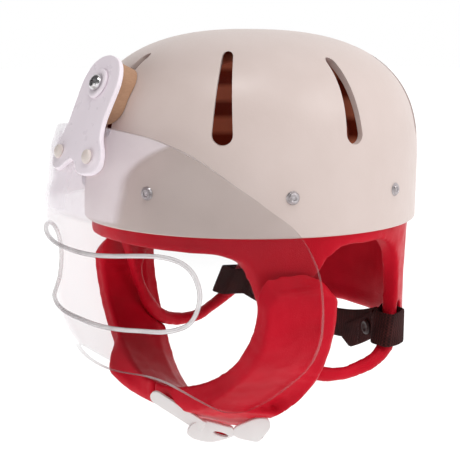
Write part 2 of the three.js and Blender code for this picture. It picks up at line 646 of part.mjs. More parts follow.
// Corners of the ear ring's rear limb at a height, moved out by a clearance.
function limbCorners(side, clearance, z) {
  const half = along(SKIRT.map((ring) => [ring.z, ring.half]), z);
  const wall = along(SKIRT.map((ring) => [ring.z, ring.wall]), z);
  const xAt = (radius, y) => ovalScale * Math.sqrt(radius ** 2 - y ** 2) * skirtWidth(y, z);
  const shift = STRAP_LOOP.tilt * (z - STRAP.height);
  const [front, rear] = [STRAP_LOOP.frontY - clearance + shift, STRAP_LOOP.rearY + clearance + shift];
  const outer = half + STRAP_LOOP.outside + clearance;
  const inner = half - wall - STRAP_LOOP.inside - clearance;
  const middle = (front + rear) / 2;
  return [
    [inner, middle], [inner, front], [outer, front], [outer, middle], [outer, rear], [inner, rear],
  ].map(([radius, y]) => new THREE.Vector3(side * xAt(radius, y), y, z));
}

function strapLoop(side) {
  const block = (clearance, reach) => {
    return loft([-reach, reach].map((dz) => limbCorners(side, clearance, STRAP.height + dz)));
  };
  return block(STRAP.thick, STRAP.width / 2).subtract(block(0, STRAP.width));
}

function strapSolid() {
  const tailEnd = STRAP.endX - STRAP_TAIL.reach;
  return strapBand(STRAP.width, -STRAP.endX, STRAP.endX, 0, 0)
    .add(strapBand(STRAP_TAIL.width, STRAP.endX, tailEnd, STRAP_TAIL.lift, STRAP_TAIL.drop))
    .add(strapLoop(-1))
    .add(strapLoop(1));
}

function snapSolid(side) {
  const { x, radius, rise, sides } = SNAP;
  const middle = 1 - (x / STRAP.endX) ** 2;
  const slope = (-2 * STRAP.bow * side * x) / STRAP.endX ** 2;
  const normal = new THREE.Vector3(slope, -1, 0).normalize();
  const lift = side > 0 ? STRAP_TAIL.lift : 0;
  const drop = side > 0 ? STRAP_TAIL.drop * ((STRAP.endX - x) / STRAP_TAIL.reach) : 0;
  const height = STRAP.height - STRAP.sag * middle - drop;
  const seat = new THREE.Vector3(side * x, STRAP.endY + STRAP.bow * middle - lift, height);
  const profile = [
    [0, rise * 0.6], [radius * 0.5, rise * 0.6], [radius * 0.6, rise], [radius, rise * 0.5], [radius, 0],
    [0, 0],
  ];
  return turnedAt(profile, sides, seat.addScaledVector(normal, 2 * GAP), normal);
}

// Frame of a flat chin piece: along its length from the buckle, across it and out of its face.
function chinFrame(end) {
  const origin = new THREE.Vector3(...CHIN.buckle);
  const along = new THREE.Vector3(...end).sub(origin);
  const length = along.length();
  along.normalize();
  const across = new THREE.Vector3(...CHIN_FACE).cross(along).normalize();
  const outward = new THREE.Vector3().crossVectors(along, across);
  return { origin, along, across, outward, length };
}

// Flat strip with one round end, grown on all sides by a clearance.
function chinStrip({ origin, along, across, outward }, { from, to, width, thick, lift }, grow) {
  const half = width / 2 + grow;
  const shape = new THREE.Shape();
  shape.moveTo(from - grow, -half);
  shape.lineTo(to - width / 2, -half);
  shape.absarc(to - width / 2, 0, half, -Math.PI / 2, Math.PI / 2, false);
  shape.lineTo(from - grow, half);
  const base = origin.clone().addScaledVector(outward, lift - grow);
  return pushed(shape, thick + 2 * grow, base, along, across, outward);
}

function chinSolids(grow) {
  const toTongue = chinFrame(CHIN.tongueEnd);
  const toTab = chinFrame(CHIN.tabEnd);
  return {
    tongue: chinStrip(toTongue, { ...TONGUE, to: toTongue.length }, grow),
    buckle: chinStrip(toTongue, BUCKLE, grow),
    tab: chinStrip(toTab, { ...TAB, to: toTab.length }, grow),
  };
}

const shellLook = material(CREAM, 0.45);
const foamLook = material(RED, 0.4);
const guardLook = material(0xf2f4f6, 0.05, 0, 0.25);
const milkyLook = material(MILKY, 0.4);
const rivetLook = material(ALUMINIUM, 0.35, 0.9);
const spacerLook = material(0xbe9678, 0.8);
const chromeLook = material(0xd8d8dc, 0.15, 1);
const strapLook = material(0x33201f, 0.9);
const fastenerLook = material(0xe2dedc, 0.4);

const helmet = new THREE.Group();
helmet.position.z = -(SHELL.height - SHELL.wall - GAP - FOAM);

helmet.add(meshOf('shell', shellSolid(), shellLook));
RIVET_ANGLES.forEach((degrees, i) => {
  helmet.add(meshOf(`shell_rivet_${i + 1}`, rivetSolid(degrees), rivetLook));
});
helmet.add(meshOf('liner', linerSolid(), foamLook));
helmet.add(meshOf('left_jaw_pad', padSolid(1), foamLook));
helmet.add(meshOf('right_jaw_pad', padSolid(-1), foamLook));
helmet.add(meshOf('faceguard', guardSolid(), guardLook));
helmet.add(meshOf('guard_bracket', bracketSolid(), milkyLook));
helmet.add(meshOf('bracket_spacer', spacerSolid(), spacerLook));
helmet.add(meshOf('bracket_washer', washerSolid(), milkyLook));
helmet.add(meshOf('bracket_screw', screwSolid(), chromeLook));
helmet.add(meshOf('bracket_rivet_left', footRivetSolid(1), shellLook));
helmet.add(meshOf('bracket_rivet_right', footRivetSolid(-1), shellLook));
helmet.add(meshOf('nape_strap', strapSolid(), strapLook));
helmet.add(meshOf('nape_snap_left', snapSolid(1), strapLook));
helmet.add(meshOf('nape_snap_right', snapSolid(-1), strapLook));

const chin = chinSolids(0);
const buckleSlot = chinStrip(chinFrame(CHIN.tongueEnd), BUCKLE_SLOT, 0);
helmet.add(meshOf('chin_tongue', chin.tongue, fastenerLook));
helmet.add(meshOf('chin_buckle', chin.buckle.subtract(buckleSlot), fastenerLook));
helmet.add(meshOf('chin_tab', chin.tab, fastenerLook));

export default helmet;
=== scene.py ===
"""Dressed model of a hard shell helmet with a clear faceguard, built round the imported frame.

Sizes are in millimetres from the middle of the shell's rim plane: the face looks along -Y, the
wearer's left is +X and +Z is up. Only the last step of each piece turns them into the frame's metres.
"""

import logging
import math
from collections.abc import Callable, Sequence
from dataclasses import dataclass, field
from enum import Enum
from functools import cache

import bmesh
import bpy
import numpy as np
from mathutils import Matrix, Vector
from mathutils.geometry import delaunay_2d_cdt


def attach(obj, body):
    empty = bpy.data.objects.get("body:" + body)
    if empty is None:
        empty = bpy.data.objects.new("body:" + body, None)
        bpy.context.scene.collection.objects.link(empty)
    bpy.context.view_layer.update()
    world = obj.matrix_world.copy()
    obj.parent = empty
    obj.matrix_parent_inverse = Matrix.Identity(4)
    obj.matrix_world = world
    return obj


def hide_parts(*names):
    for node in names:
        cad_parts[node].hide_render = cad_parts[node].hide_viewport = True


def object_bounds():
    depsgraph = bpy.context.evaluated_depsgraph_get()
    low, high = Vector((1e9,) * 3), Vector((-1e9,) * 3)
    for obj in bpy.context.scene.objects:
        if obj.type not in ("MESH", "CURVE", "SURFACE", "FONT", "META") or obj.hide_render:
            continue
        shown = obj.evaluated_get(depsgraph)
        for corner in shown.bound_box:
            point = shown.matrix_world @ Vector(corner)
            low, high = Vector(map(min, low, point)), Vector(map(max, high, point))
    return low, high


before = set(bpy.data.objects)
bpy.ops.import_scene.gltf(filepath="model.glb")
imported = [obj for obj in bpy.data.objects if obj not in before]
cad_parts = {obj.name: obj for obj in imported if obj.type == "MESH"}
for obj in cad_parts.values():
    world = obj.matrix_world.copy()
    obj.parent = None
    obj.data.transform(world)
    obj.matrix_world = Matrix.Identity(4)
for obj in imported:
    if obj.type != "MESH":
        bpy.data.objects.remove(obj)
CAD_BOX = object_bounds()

LOG = logging.getLogger("helmet")

Points = np.ndarray
Pair = tuple[float, float]
Triple = tuple[float, float, float]
Four = tuple[float, float, float, float]
Colour = Triple
Piece = bpy.types.Object
Look = bpy.types.Material
Socket = bpy.types.NodeSocket

SEAT_HEIGHT = 105.7
GAP = 0.4


class Coords(Enum):
    """Where a pattern takes its place from."""

    OBJECT = "Object"
    UV = "UV"


class Side(Enum):
    """The wearer's side that a piece belongs to."""

    LEFT = 1
    RIGHT = -1

    @property
    def label(self) -> str:
        """The side as part of a piece's name."""
        return self.name.lower()


def srgb(red: int, green: int, blue: int) -> Colour:
    """Linear colour of an eight-bit screen colour."""
    return tuple((c / 255 / 12.92) if c <= 10 else ((c / 255 + 0.055) / 1.055) ** 2.4 for c in (red, green, blue))


def unit(vector: Sequence[float]) -> Points:
    """Vector of length one in the same direction."""
    array = np.asarray(vector, float)
    return array / np.linalg.norm(array)


def unit_rows(rows: Points) -> Points:
    """Rows of vectors, each brought to length one."""
    return rows / np.linalg.norm(rows, axis=1)[:, None]


def lerp_table(table: Sequence[Pair], keys: Points | float) -> Points:
    """Values of a rising two-column table at the given keys."""
    columns = np.array(table, float)
    return np.interp(keys, columns[:, 0], columns[:, 1])


def smooth_curve(points: Sequence[Sequence[float]], closed: bool, steps: int) -> Points:
    """Centripetal curve through a row of points.

    Args:
        points: places that the curve passes through.
        closed: whether the last place joins the first.
        steps: points that each stretch is divided into.

    Returns:
        The curve's points, without a repeated end if it is closed.
    """
    knots = np.array(points, float)
    if closed:
        knots = np.vstack([knots[-1], knots, knots[:2]])
    else:
        knots = np.vstack([2 * knots[0] - knots[1], knots, 2 * knots[-1] - knots[-2]])
    found = []
    for i in range(1, len(knots) - 2):
        p = knots[i - 1:i + 3]
        t = np.concatenate([[0], np.cumsum(np.sqrt(np.linalg.norm(np.diff(p, axis=0), axis=1)) + 1e-9)])
        u = np.linspace(t[1], t[2], steps, endpoint=False)[:, None]
        a = [((t[k + 1] - u) * p[k] + (u - t[k]) * p[k + 1]) / (t[k + 1] - t[k]) for k in range(3)]
        b = [((t[k + 2] - u) * a[k] + (u - t[k]) * a[k + 1]) / (t[k + 2] - t[k]) for k in range(2)]
        found.append(((t[2] - u) * b[0] + (u - t[1]) * b[1]) / (t[2] - t[1]))
    if not closed:
        found.append(knots[-2][None])
    return np.vstack(found)


def wavy(points: Points, length: float, seed: int) -> Points:
    """Smooth, repeatable unevenness at points.

    Args:
        points: places in millimetres.
        length: size of the swells in millimetres.
        seed: number that fixes the pattern.

    Returns:
        One value of about -1 to 1 for each point.
    """
    rng = np.random.default_rng(seed)
    total = np.zeros(len(points))
    for _ in range(7):
        way = unit(rng.normal(size=3)) * rng.uniform(0.6, 1.7) * 2 * math.pi / length
        total += np.sin(points @ way + rng.uniform(0, 2 * math.pi))
    return total / 3.2


def link(name: str, data: bpy.types.ID) -> Piece:
    """New object round a mesh, lamp or camera, put into the scene.

    Args:
        name: object name.
        data: what the object shows.

    Returns:
        The object.
    """
    made = bpy.data.objects.new(name, data)
    bpy.context.scene.collection.objects.link(made)
    return made


def new_object(name: str, points: Points, faces: Sequence[Sequence[int]]) -> Piece:
    """Linked mesh object from points in millimetres, with smooth shading.

    Args:
        name: piece name.
        points: places in the rim frame.
        faces: corner indices of each face.

    Returns:
        The object, in the frame's metres, at the origin.
    """
    mesh = bpy.data.meshes.new(name)
    metres = (np.asarray(points, float) - (0, 0, SEAT_HEIGHT)) / 1000
    mesh.from_pydata(metres.tolist(), [], [list(map(int, face)) for face in faces])
    mesh.validate()
    mesh.shade_smooth()
    return link(name, mesh)


def points_of(made: Piece) -> Points:
    """The object's points in the rim frame.

    Args:
        made: object to read.

    Returns:
        Places in millimetres.
    """
    flat = np.zeros(len(made.data.vertices) * 3)
    made.data.vertices.foreach_get("co", flat)
    return flat.reshape(-1, 3) * 1000 + (0, 0, SEAT_HEIGHT)


def set_points(made: Piece, points: Points) -> None:
    """Moves the object's points to places in millimetres in the rim frame."""
    made.data.vertices.foreach_set("co", ((points - (0, 0, SEAT_HEIGHT)) / 1000).ravel())
    made.data.update()


def puff(made: Piece, depth: Points | float) -> Piece:
    """Moves the object's points outwards.

    Args:
        made: closed object.
        depth: distance in millimetres, one for all points or one for each.

    Returns:
        The same object.
    """
    normals = np.zeros(len(made.data.vertices) * 3)
    made.data.vertex_normals.foreach_get("vector", normals)
    set_points(made, points_of(made) + np.reshape(depth, (-1, 1)) * normals.reshape(-1, 3))
    return made


def settle(made: Piece) -> Piece:
    """Turns the object's live modifiers into its plain mesh.

    Args:
        made: object with modifiers.

    Returns:
        The same object.
    """
    bpy.context.view_layer.update()
    graph = bpy.context.evaluated_depsgraph_get()
    mesh = bpy.data.meshes.new_from_object(made.evaluated_get(graph))
    made.modifiers.clear()
    made.data = mesh
    return made


def outward(made: Piece) -> Piece:
    """Turns a closed object's faces outwards.

    Args:
        made: closed object.

    Returns:
        The same object.
    """
    shape = bmesh.new()
    shape.from_mesh(made.data)
    bmesh.ops.recalc_face_normals(shape, faces=shape.faces)
    shape.to_mesh(made.data)
    shape.free()
    return made


def cut(made: Piece, *cutters: Piece) -> Piece:
    """Takes closed cutters away from a closed object and removes them.

    Args:
        made: object to cut.
        cutters: objects whose space is taken away.

    Returns:
        The cut object.
    """
    for cutter in cutters:
        step = made.modifiers.new("cut", "BOOLEAN")
        step.operation = "DIFFERENCE"
        step.solver = "MANIFOLD"
        step.object = cutter
        settle(made)
        bpy.data.objects.remove(cutter)
    return made


def soften(made: Piece, voxel: float, passes: int) -> Piece:
    """Gives a foam piece an even skin with rounded edges.

    Args:
        made: closed object.
        voxel: size of the skin's faces in millimetres.
        passes: rounds of smoothing.

    Returns:
        The softened object.
    """
    skin = made.modifiers.new("skin", "REMESH")
    skin.mode = "VOXEL"
    skin.voxel_size = voxel / 1000
    skin.use_smooth_shade = True
    settle(made)
    set_points(made, relax(made, points_of(made), [0.5, -0.52] * passes))
    made.data.shade_smooth()
    return made


def relax(made: Piece, points: Points, rates: Sequence[float | Points]) -> Points:
    """Moves points towards the middle of their neighbours.

    Args:
        made: object whose edges say which points are neighbours.
        points: places of its points.
        rates: share of the way to go in each round, away from the middle where negative.

    Returns:
        The moved places.
    """
    edges = np.zeros(len(made.data.edges) * 2, np.int64)
    made.data.edges.foreach_get("vertices", edges)
    first, second = edges.reshape(-1, 2).T
    count = np.bincount(edges, minlength=len(points))[:, None]
    for rate in rates:
        around = np.stack([
            np.bincount(first, points[second, k], len(points)) + np.bincount(second, points[first, k], len(points))
            for k in range(3)
        ], -1)
        points = points + rate * (around / count - points)
    return points


def round_edges(
    made: Piece, width: float, segments: int = 3, angle: float = 40, slot: int = -1
) -> Piece:
    """Rounds the sharp edges of an object.

    Args:
        made: closed object.
        width: rounding in millimetres.
        segments: faces across the rounding.
        angle: edges sharper than this are rounded, in degrees.
        slot: material index of the rounding, or -1 to take it from the faces beside it.

    Returns:
        The rounded object.
    """
    edge = made.modifiers.new("edge", "BEVEL")
    edge.width = width / 1000
    edge.segments = segments
    edge.limit_method = "WEIGHT" if "bevel_weight_edge" in made.data.attributes else "ANGLE"
    edge.angle_limit = math.radians(angle)
    edge.use_clamp_overlap = True
    edge.material = slot
    made.data.shade_smooth()
    made.modifiers.new("shading", "WEIGHTED_NORMAL").mode = "FACE_AREA"
    settle(made)
    return made


def revolve(profile: Points, sides: int, oval: float = 1.0) -> tuple[Points, list[list[int]]]:
    """Closed turned form about +Z from a profile that starts and ends on the axis.

    Args:
        profile: rows of radius and height.
        sides: steps round the axis.
        oval: width as a share of the length.

    Returns:
        Points and faces.
    """
    turn = np.arange(sides) * 2 * math.pi / sides
    points, rings = [], []
    for radius, height in profile:
        start = len(points)
        if radius < 1e-6:
            points.append((0, 0, height))
            rings.append([start] * sides)
        else:
            points.extend(zip(radius * np.sin(turn) * oval, -radius * np.cos(turn), np.full(sides, height)))
            rings.append(list(range(start, start + sides)))
    faces = []
    for low, high in zip(rings, rings[1:]):
        for k in range(sides):
            n = (k + 1) % sides
            corners = list(dict.fromkeys([low[k], low[n], high[n], high[k]]))
            if len(corners) > 2:
                faces.append(corners)
    return np.array(points, float), faces


def turned_at(name: str, profile: Sequence[Pair], sides: int, seat: Points, normal: Points) -> Piece:
    """Turned piece whose axis is laid along a normal at a seat.

    Args:
        name: piece name.
        profile: rows of radius and height along the normal.
        sides: steps round the axis.
        seat: place of the profile's zero height.
        normal: direction of the axis.

    Returns:
        The object.
    """
    points, faces = revolve(np.array(profile, float), sides)
    turn = np.array(Vector((0, 0, 1)).rotation_difference(Vector(normal)).to_matrix())
    return outward(new_object(name, points @ turn.T + np.asarray(seat, float), faces))


def band(rings: int, count: int, closed: bool = False) -> list[list[int]]:
    """Faces between rings of points that are stored one ring after another.

    Args:
        rings: number of rings.
        count: points in a ring.
        closed: whether the last ring joins the first; the two ends are capped if not.

    Returns:
        Corner indices of each face.
    """
    faces = []
    for ring in range(rings if closed else rings - 1):
        here, there = ring * count, (ring + 1) % rings * count
        for i in range(count):
            after = (i + 1) % count
            faces.append([here + i, here + after, there + after, there + i])
    if not closed:
        faces += [list(range(count))[::-1], list(range((rings - 1) * count, rings * count))]
    return faces


def prism(outline: Points, origin: Points, axes: Sequence[Points], depth: float) -> Piece:
    """Closed cutter from a flat outline pushed along the third axis.

    Args:
        outline: rows of across and upward.
        origin: place of the outline's zero.
        axes: across, upward and push directions.
        depth: length of the push.

    Returns:
        The object.
    """
    across, upward, push = (np.asarray(axis, float) for axis in axes)
    near = origin + outline[:, :1] * across + outline[:, 1:] * upward
    return outward(new_object("cutter", np.vstack([near, near + depth * push]), band(2, len(outline))))


def capsule(low: Triple, high: Triple, steps: tuple[int, int]) -> Points:
    """Outline of an upright slot with two rounded ends.

    Args:
        low: half width, end height and rounding height of the lower end.
        high: the same of the upper end.
        steps: points along the lower and the upper end.

    Returns:
        Rows of across and upward.
    """
    ends = []
    for (half, end, rounding), sign, count in zip((low, high), (-1, 1), steps):
        over = np.linspace(0, math.pi, count)
        ends.append(np.stack([sign * half * np.cos(over), end + sign * rounding * (np.sin(over) - 1)], -1))
    return np.vstack(ends)


def inside(places: Points, outline: Points) -> np.ndarray:
    """Tells which flat places lie inside a closed outline.

    Args:
        places: rows of two.
        outline: the border's points.

    Returns:
        One truth value for each place.
    """
    x, y = places[:, :1], places[:, 1:]
    a, b = outline, np.roll(outline, -1, axis=0)
    crosses = (a[:, 1] > y) != (b[:, 1] > y)
    reach = (b[:, 0] - a[:, 0]) * (y - a[:, 1]) / np.where(b[:, 1] == a[:, 1], 1e-12, b[:, 1] - a[:, 1]) + a[:, 0]
    return (crosses & (x < reach)).sum(axis=1) % 2 == 1


def far_from(places: Points, outline: Points, least: float) -> np.ndarray:
    """Tells which flat places keep a distance from an outline's points.

    Args:
        places: rows of two.
        outline: the border's points.
        least: distance to keep.

    Returns:
        One truth value for each place.
    """
    nearest = np.full(len(places), np.inf)
    for point in outline:
        nearest = np.minimum(nearest, np.linalg.norm(places - point, axis=1))
    return nearest > least


def plate(
    name: str,
    outline: Points,
    holes: Sequence[Points],
    spacing: float,
    outer: Callable[[Points], Points],
    inner: Callable[[Points], Points],
) -> Piece:
    """Closed sheet over a flat domain, with holes, laid on two faces, its walls with material index 1.

    Args:
        name: piece name.
        outline: closed border of the domain.
        holes: closed borders of the openings.
        spacing: distance between the inner grid's points.
        outer: places of flat points on the outer face.
        inner: places of flat points on the inner face.

    Returns:
        The object.
    """
    low, high = outline.min(axis=0), outline.max(axis=0)
    grid = np.stack(np.meshgrid(*(np.arange(low[k], high[k], spacing) for k in range(2))), -1).reshape(-1, 2)
    clear = 0.6 * spacing
    keep = inside(grid, outline) & far_from(grid, outline, clear)
    for hole in holes:
        keep &= ~inside(grid, hole) & far_from(grid, hole, clear)
    flat, edges = [], []
    for border in [outline, *holes]:
        start, count = len(flat), len(border)
        flat.extend(map(tuple, border))
        edges.extend((start + i, start + (i + 1) % count) for i in range(count))
    flat.extend(map(tuple, grid[keep]))
    found = delaunay_2d_cdt([Vector(p) for p in flat], edges, [], 0, 1e-6)
    places = np.array([tuple(p) for p in found[0]])
    triangles = np.array([tuple(face) for face in found[2]])
    middle = places[triangles].mean(axis=1)
    good = inside(middle, outline)
    for hole in holes:
        good &= ~inside(middle, hole)
    triangles = triangles[good]
    count = len(places)
    seen = dict.fromkeys(edge for a, b, c in triangles.tolist() for edge in ((a, b), (b, c), (c, a)))
    walls = [[b, a, a + count, b + count] for a, b in seen if (b, a) not in seen]
    faces = triangles.tolist() + (triangles[:, ::-1] + count).tolist() + walls
    made = new_object(name, np.vstack([outer(places), inner(places)]), faces)
    made.data.polygons.foreach_set("material_index", [int(len(face) == 4) for face in faces])
    shape = bmesh.new()
    shape.from_mesh(made.data)
    bmesh.ops.delete(shape, geom=[v for v in shape.verts if not v.link_faces], context="VERTS")
    bmesh.ops.recalc_face_normals(shape, faces=shape.faces)
    weight = shape.edges.layers.float.new("bevel_weight_edge")
    for edge in shape.edges:
        edge[weight] = float(len({len(face.verts) for face in edge.link_faces}) == 2)
    shape.to_mesh(made.data)
    shape.free()
    return made


def even(outline: Points, spacing: float) -> Points:
    """Lays an outline's points an even distance apart.

    Args:
        outline: closed border.
        spacing: distance between points.

    Returns:
        The new points of the border.
    """
    ring = np.vstack([outline, outline[:1]])
    length = np.concatenate([[0], np.cumsum(np.linalg.norm(np.diff(ring, axis=0), axis=1))])
    at = np.linspace(0, length[-1], max(int(length[-1] / spacing), 8), endpoint=False)
    return np.stack([np.interp(at, length, ring[:, k]) for k in range(ring.shape[1])], -1)


class NodeBuilder:
    """A node tree under construction."""

    def __init__(self, tree: bpy.types.NodeTree) -> None:
        """Takes up a tree to build in."""
        self.tree = tree

    def feed(self, socket: Socket, value: object) -> None:
        """Links a socket to an input, or sets the input to a value.

        Args:
            socket: input to feed.
            value: output socket or plain value.
        """
        if isinstance(value, Socket):
            self.tree.links.new(value, socket)
        else:
            socket.default_value = value

    def node(self, kind: str, **values: object) -> bpy.types.Node:
        """New node of a kind, with its inputs fed by name.

        Args:
            kind: node type.
            values: values or sockets for the inputs, spaces in names written as underscores.

        Returns:
            The node.
        """
        made = self.tree.nodes.new(kind)
        for name, value in values.items():
            self.feed(made.inputs[name.replace("_", " ")], value)
        return made

    def math(self, operation: str, first: object, second: object = 0.0) -> Socket:
        """Sum, product or other operation on two values.

        Args:
            operation: name of the operation.
            first: first value or socket.
            second: second value or socket.

        Returns:
            The result socket.
        """
        made = self.tree.nodes.new("ShaderNodeMath")
        made.operation = operation
        for socket, value in zip(made.inputs, (first, second)):
            self.feed(socket, value)
        return made.outputs[0]


class Surface(NodeBuilder):
    """A node material under construction."""

    def __init__(self, name: str, roughness: float, metallic: float = 0.0) -> None:
        """Starts a material with an even roughness and metallic share.

        Args:
            name: material name.
            roughness: roughness all over.
            metallic: metallic share all over.
        """
        self.material = bpy.data.materials.new(name)
        self.material.use_nodes = True
        super().__init__(self.material.node_tree)
        self.shader = self.tree.nodes["Principled BSDF"]
        self.set(Roughness=roughness, Metallic=metallic)

    def set(self, **values: float | Colour | Socket) -> None:
        """Feeds the shader's own inputs.

        Args:
            values: values or sockets for the inputs, spaces in names written as underscores.
        """
        for name, value in values.items():
            socket = self.shader.inputs[name.replace("_", " ")]
            is_colour = isinstance(value, tuple) and len(socket.default_value) == 4
            self.feed(socket, (*value, 1.0) if is_colour else value)

    def coords(self, source: Coords, stretch: Sequence[float] = (1, 1, 1)) -> Socket:
        """Pattern coordinates from a source, stretched along the three axes."""
        place = self.tree.nodes.new("ShaderNodeTexCoord").outputs[source.value]
        return self.node("ShaderNodeMapping", Vector=place, Scale=tuple(stretch)).outputs["Vector"]

    def noise(self, scale: float, detail: float = 3, stretch: Sequence[float] = (1, 1, 1)) -> Socket:
        """Noise on stretched object coordinates, its scale in swells per metre and its detail in octaves."""
        place = self.coords(Coords.OBJECT, stretch)
        return self.node("ShaderNodeTexNoise", Vector=place, Scale=scale, Detail=detail).outputs["Fac"]

    def ramp(self, value: Socket, low: Pair, high: Pair) -> Socket:
        """Value mapped between two pairs of value and result, held at the ends."""
        ends = {"From_Min": low[0], "From_Max": high[0], "To_Min": low[1], "To_Max": high[1]}
        return self.node("ShaderNodeMapRange", Value=value, **ends).outputs["Result"]

    def blend(self, share: Socket, first: Colour | Socket, second: Colour | Socket) -> Socket:
        """Colour between two by a share.

        Args:
            share: share of the second colour.
            first: colour at share 0.
            second: colour at share 1.

        Returns:
            The colour socket.
        """
        made = self.tree.nodes.new("ShaderNodeMix")
        made.data_type = "RGBA"
        self.tree.links.new(share, made.inputs[0])
        for socket, colour in ((made.inputs[6], first), (made.inputs[7], second)):
            self.feed(socket, (*colour, 1) if isinstance(colour, tuple) else colour)
        return made.outputs[2]

    def place(self, axis: str) -> Socket:
        """One of the object coordinates, X, Y or Z."""
        return self.node("ShaderNodeSeparateXYZ", Vector=self.coords(Coords.OBJECT)).outputs[axis]

    def bump(self, height: Socket, depth: float) -> None:
        """Tilts the normal by a height of 0 to 1, whose full depth is in metres."""
        self.set(Normal=self.node("ShaderNodeBump", Height=height, Distance=depth, Strength=1.0).outputs["Normal"])


@dataclass(frozen=True)
class ShellPlastic:
    """Satin cream moulded plastic with faint mottling and fine scuffs."""

    base: Colour = srgb(214, 197, 191)
    warm: Colour = srgb(206, 188, 181)
    roughness: float = 0.36
    sheen: float = 0.45
    mottle: float = 45.0
    scuff: float = 900.0
    relief: float = 0.00006

    @cache
    def material(self) -> Look:
        """Material of the finish."""
        surface = Surface("shell_plastic", self.roughness)
        cloud = surface.ramp(surface.noise(self.mottle, 4), (0.35, 0.0), (0.75, 0.45))
        surface.set(Base_Color=surface.blend(cloud, self.base, self.warm))
        scuffs = surface.noise(self.scuff, 2, (1, 1, 0.12))
        surface.set(Roughness=surface.ramp(scuffs, (0.3, self.roughness - 0.05), (0.75, self.roughness + 0.1)))
        surface.bump(surface.noise(self.scuff * 0.6, 3), self.relief)
        surface.set(Specular_IOR_Level=self.sheen)
        return surface.material


@dataclass(frozen=True)
class CoatedFoam:
    """Red vinyl coat on foam, glossy with fine grain, and bare brown foam under the shell, with painted shade in bands
    across it.
    """

    bright: Colour = srgb(204, 22, 43)
    deep: Colour = srgb(174, 13, 31)
    scuff: Colour = srgb(238, 92, 106)
    bare: Colour = srgb(176, 104, 78)
    # Colour of the painted shade laid in bands across the bare foam.
    shade: Colour = srgb(104, 34, 18)
    # Heights between which the coat ends and the bare foam starts.
    covered_from: Pair = (-0.104, -0.098)
    # Height of each band of painted shade and bare foam.
    band: float = 0.024
    roughness: float = 0.36
    sheen: float = 0.05
    patch: float = 26.0
    wear: float = 520.0
    ripple: float = 160.0
    grain: float = 1500.0
    relief: float = 0.00022

    @cache
    def material(self) -> Look:
        """Material of the finish."""
        surface = Surface("coated_foam", self.roughness)
        patches = surface.ramp(surface.noise(self.patch, 5), (0.35, 0.0), (0.7, 0.8))
        worn = surface.ramp(surface.noise(self.wear, 5, (1, 1, 0.4)), (0.66, 0.0), (0.82, 0.14))
        coat = surface.blend(worn, surface.blend(patches, self.bright, self.deep), self.scuff)
        height = surface.place("Z")
        # Painted shade in bands across the bare foam under the shell.
        wave = surface.math("SINE", surface.math("MULTIPLY", height, 2 * math.pi / self.band))
        painted_shade_bands = surface.blend(surface.ramp(wave, (-0.5, 0.0), (0.5, 1.0)), self.bare, self.shade)
        covered = surface.ramp(height, (self.covered_from[0], 0.0), (self.covered_from[1], 1.0))
        surface.set(Base_Color=surface.blend(covered, coat, painted_shade_bands))
        surface.set(Roughness=surface.ramp(surface.noise(self.patch * 4, 4), (0.3, 0.28), (0.7, 0.46)))
        surface.bump(surface.math("ADD", surface.noise(self.grain, 2), surface.noise(self.ripple, 3)), self.relief)
        surface.set(Specular_IOR_Level=self.sheen)
        return surface.material


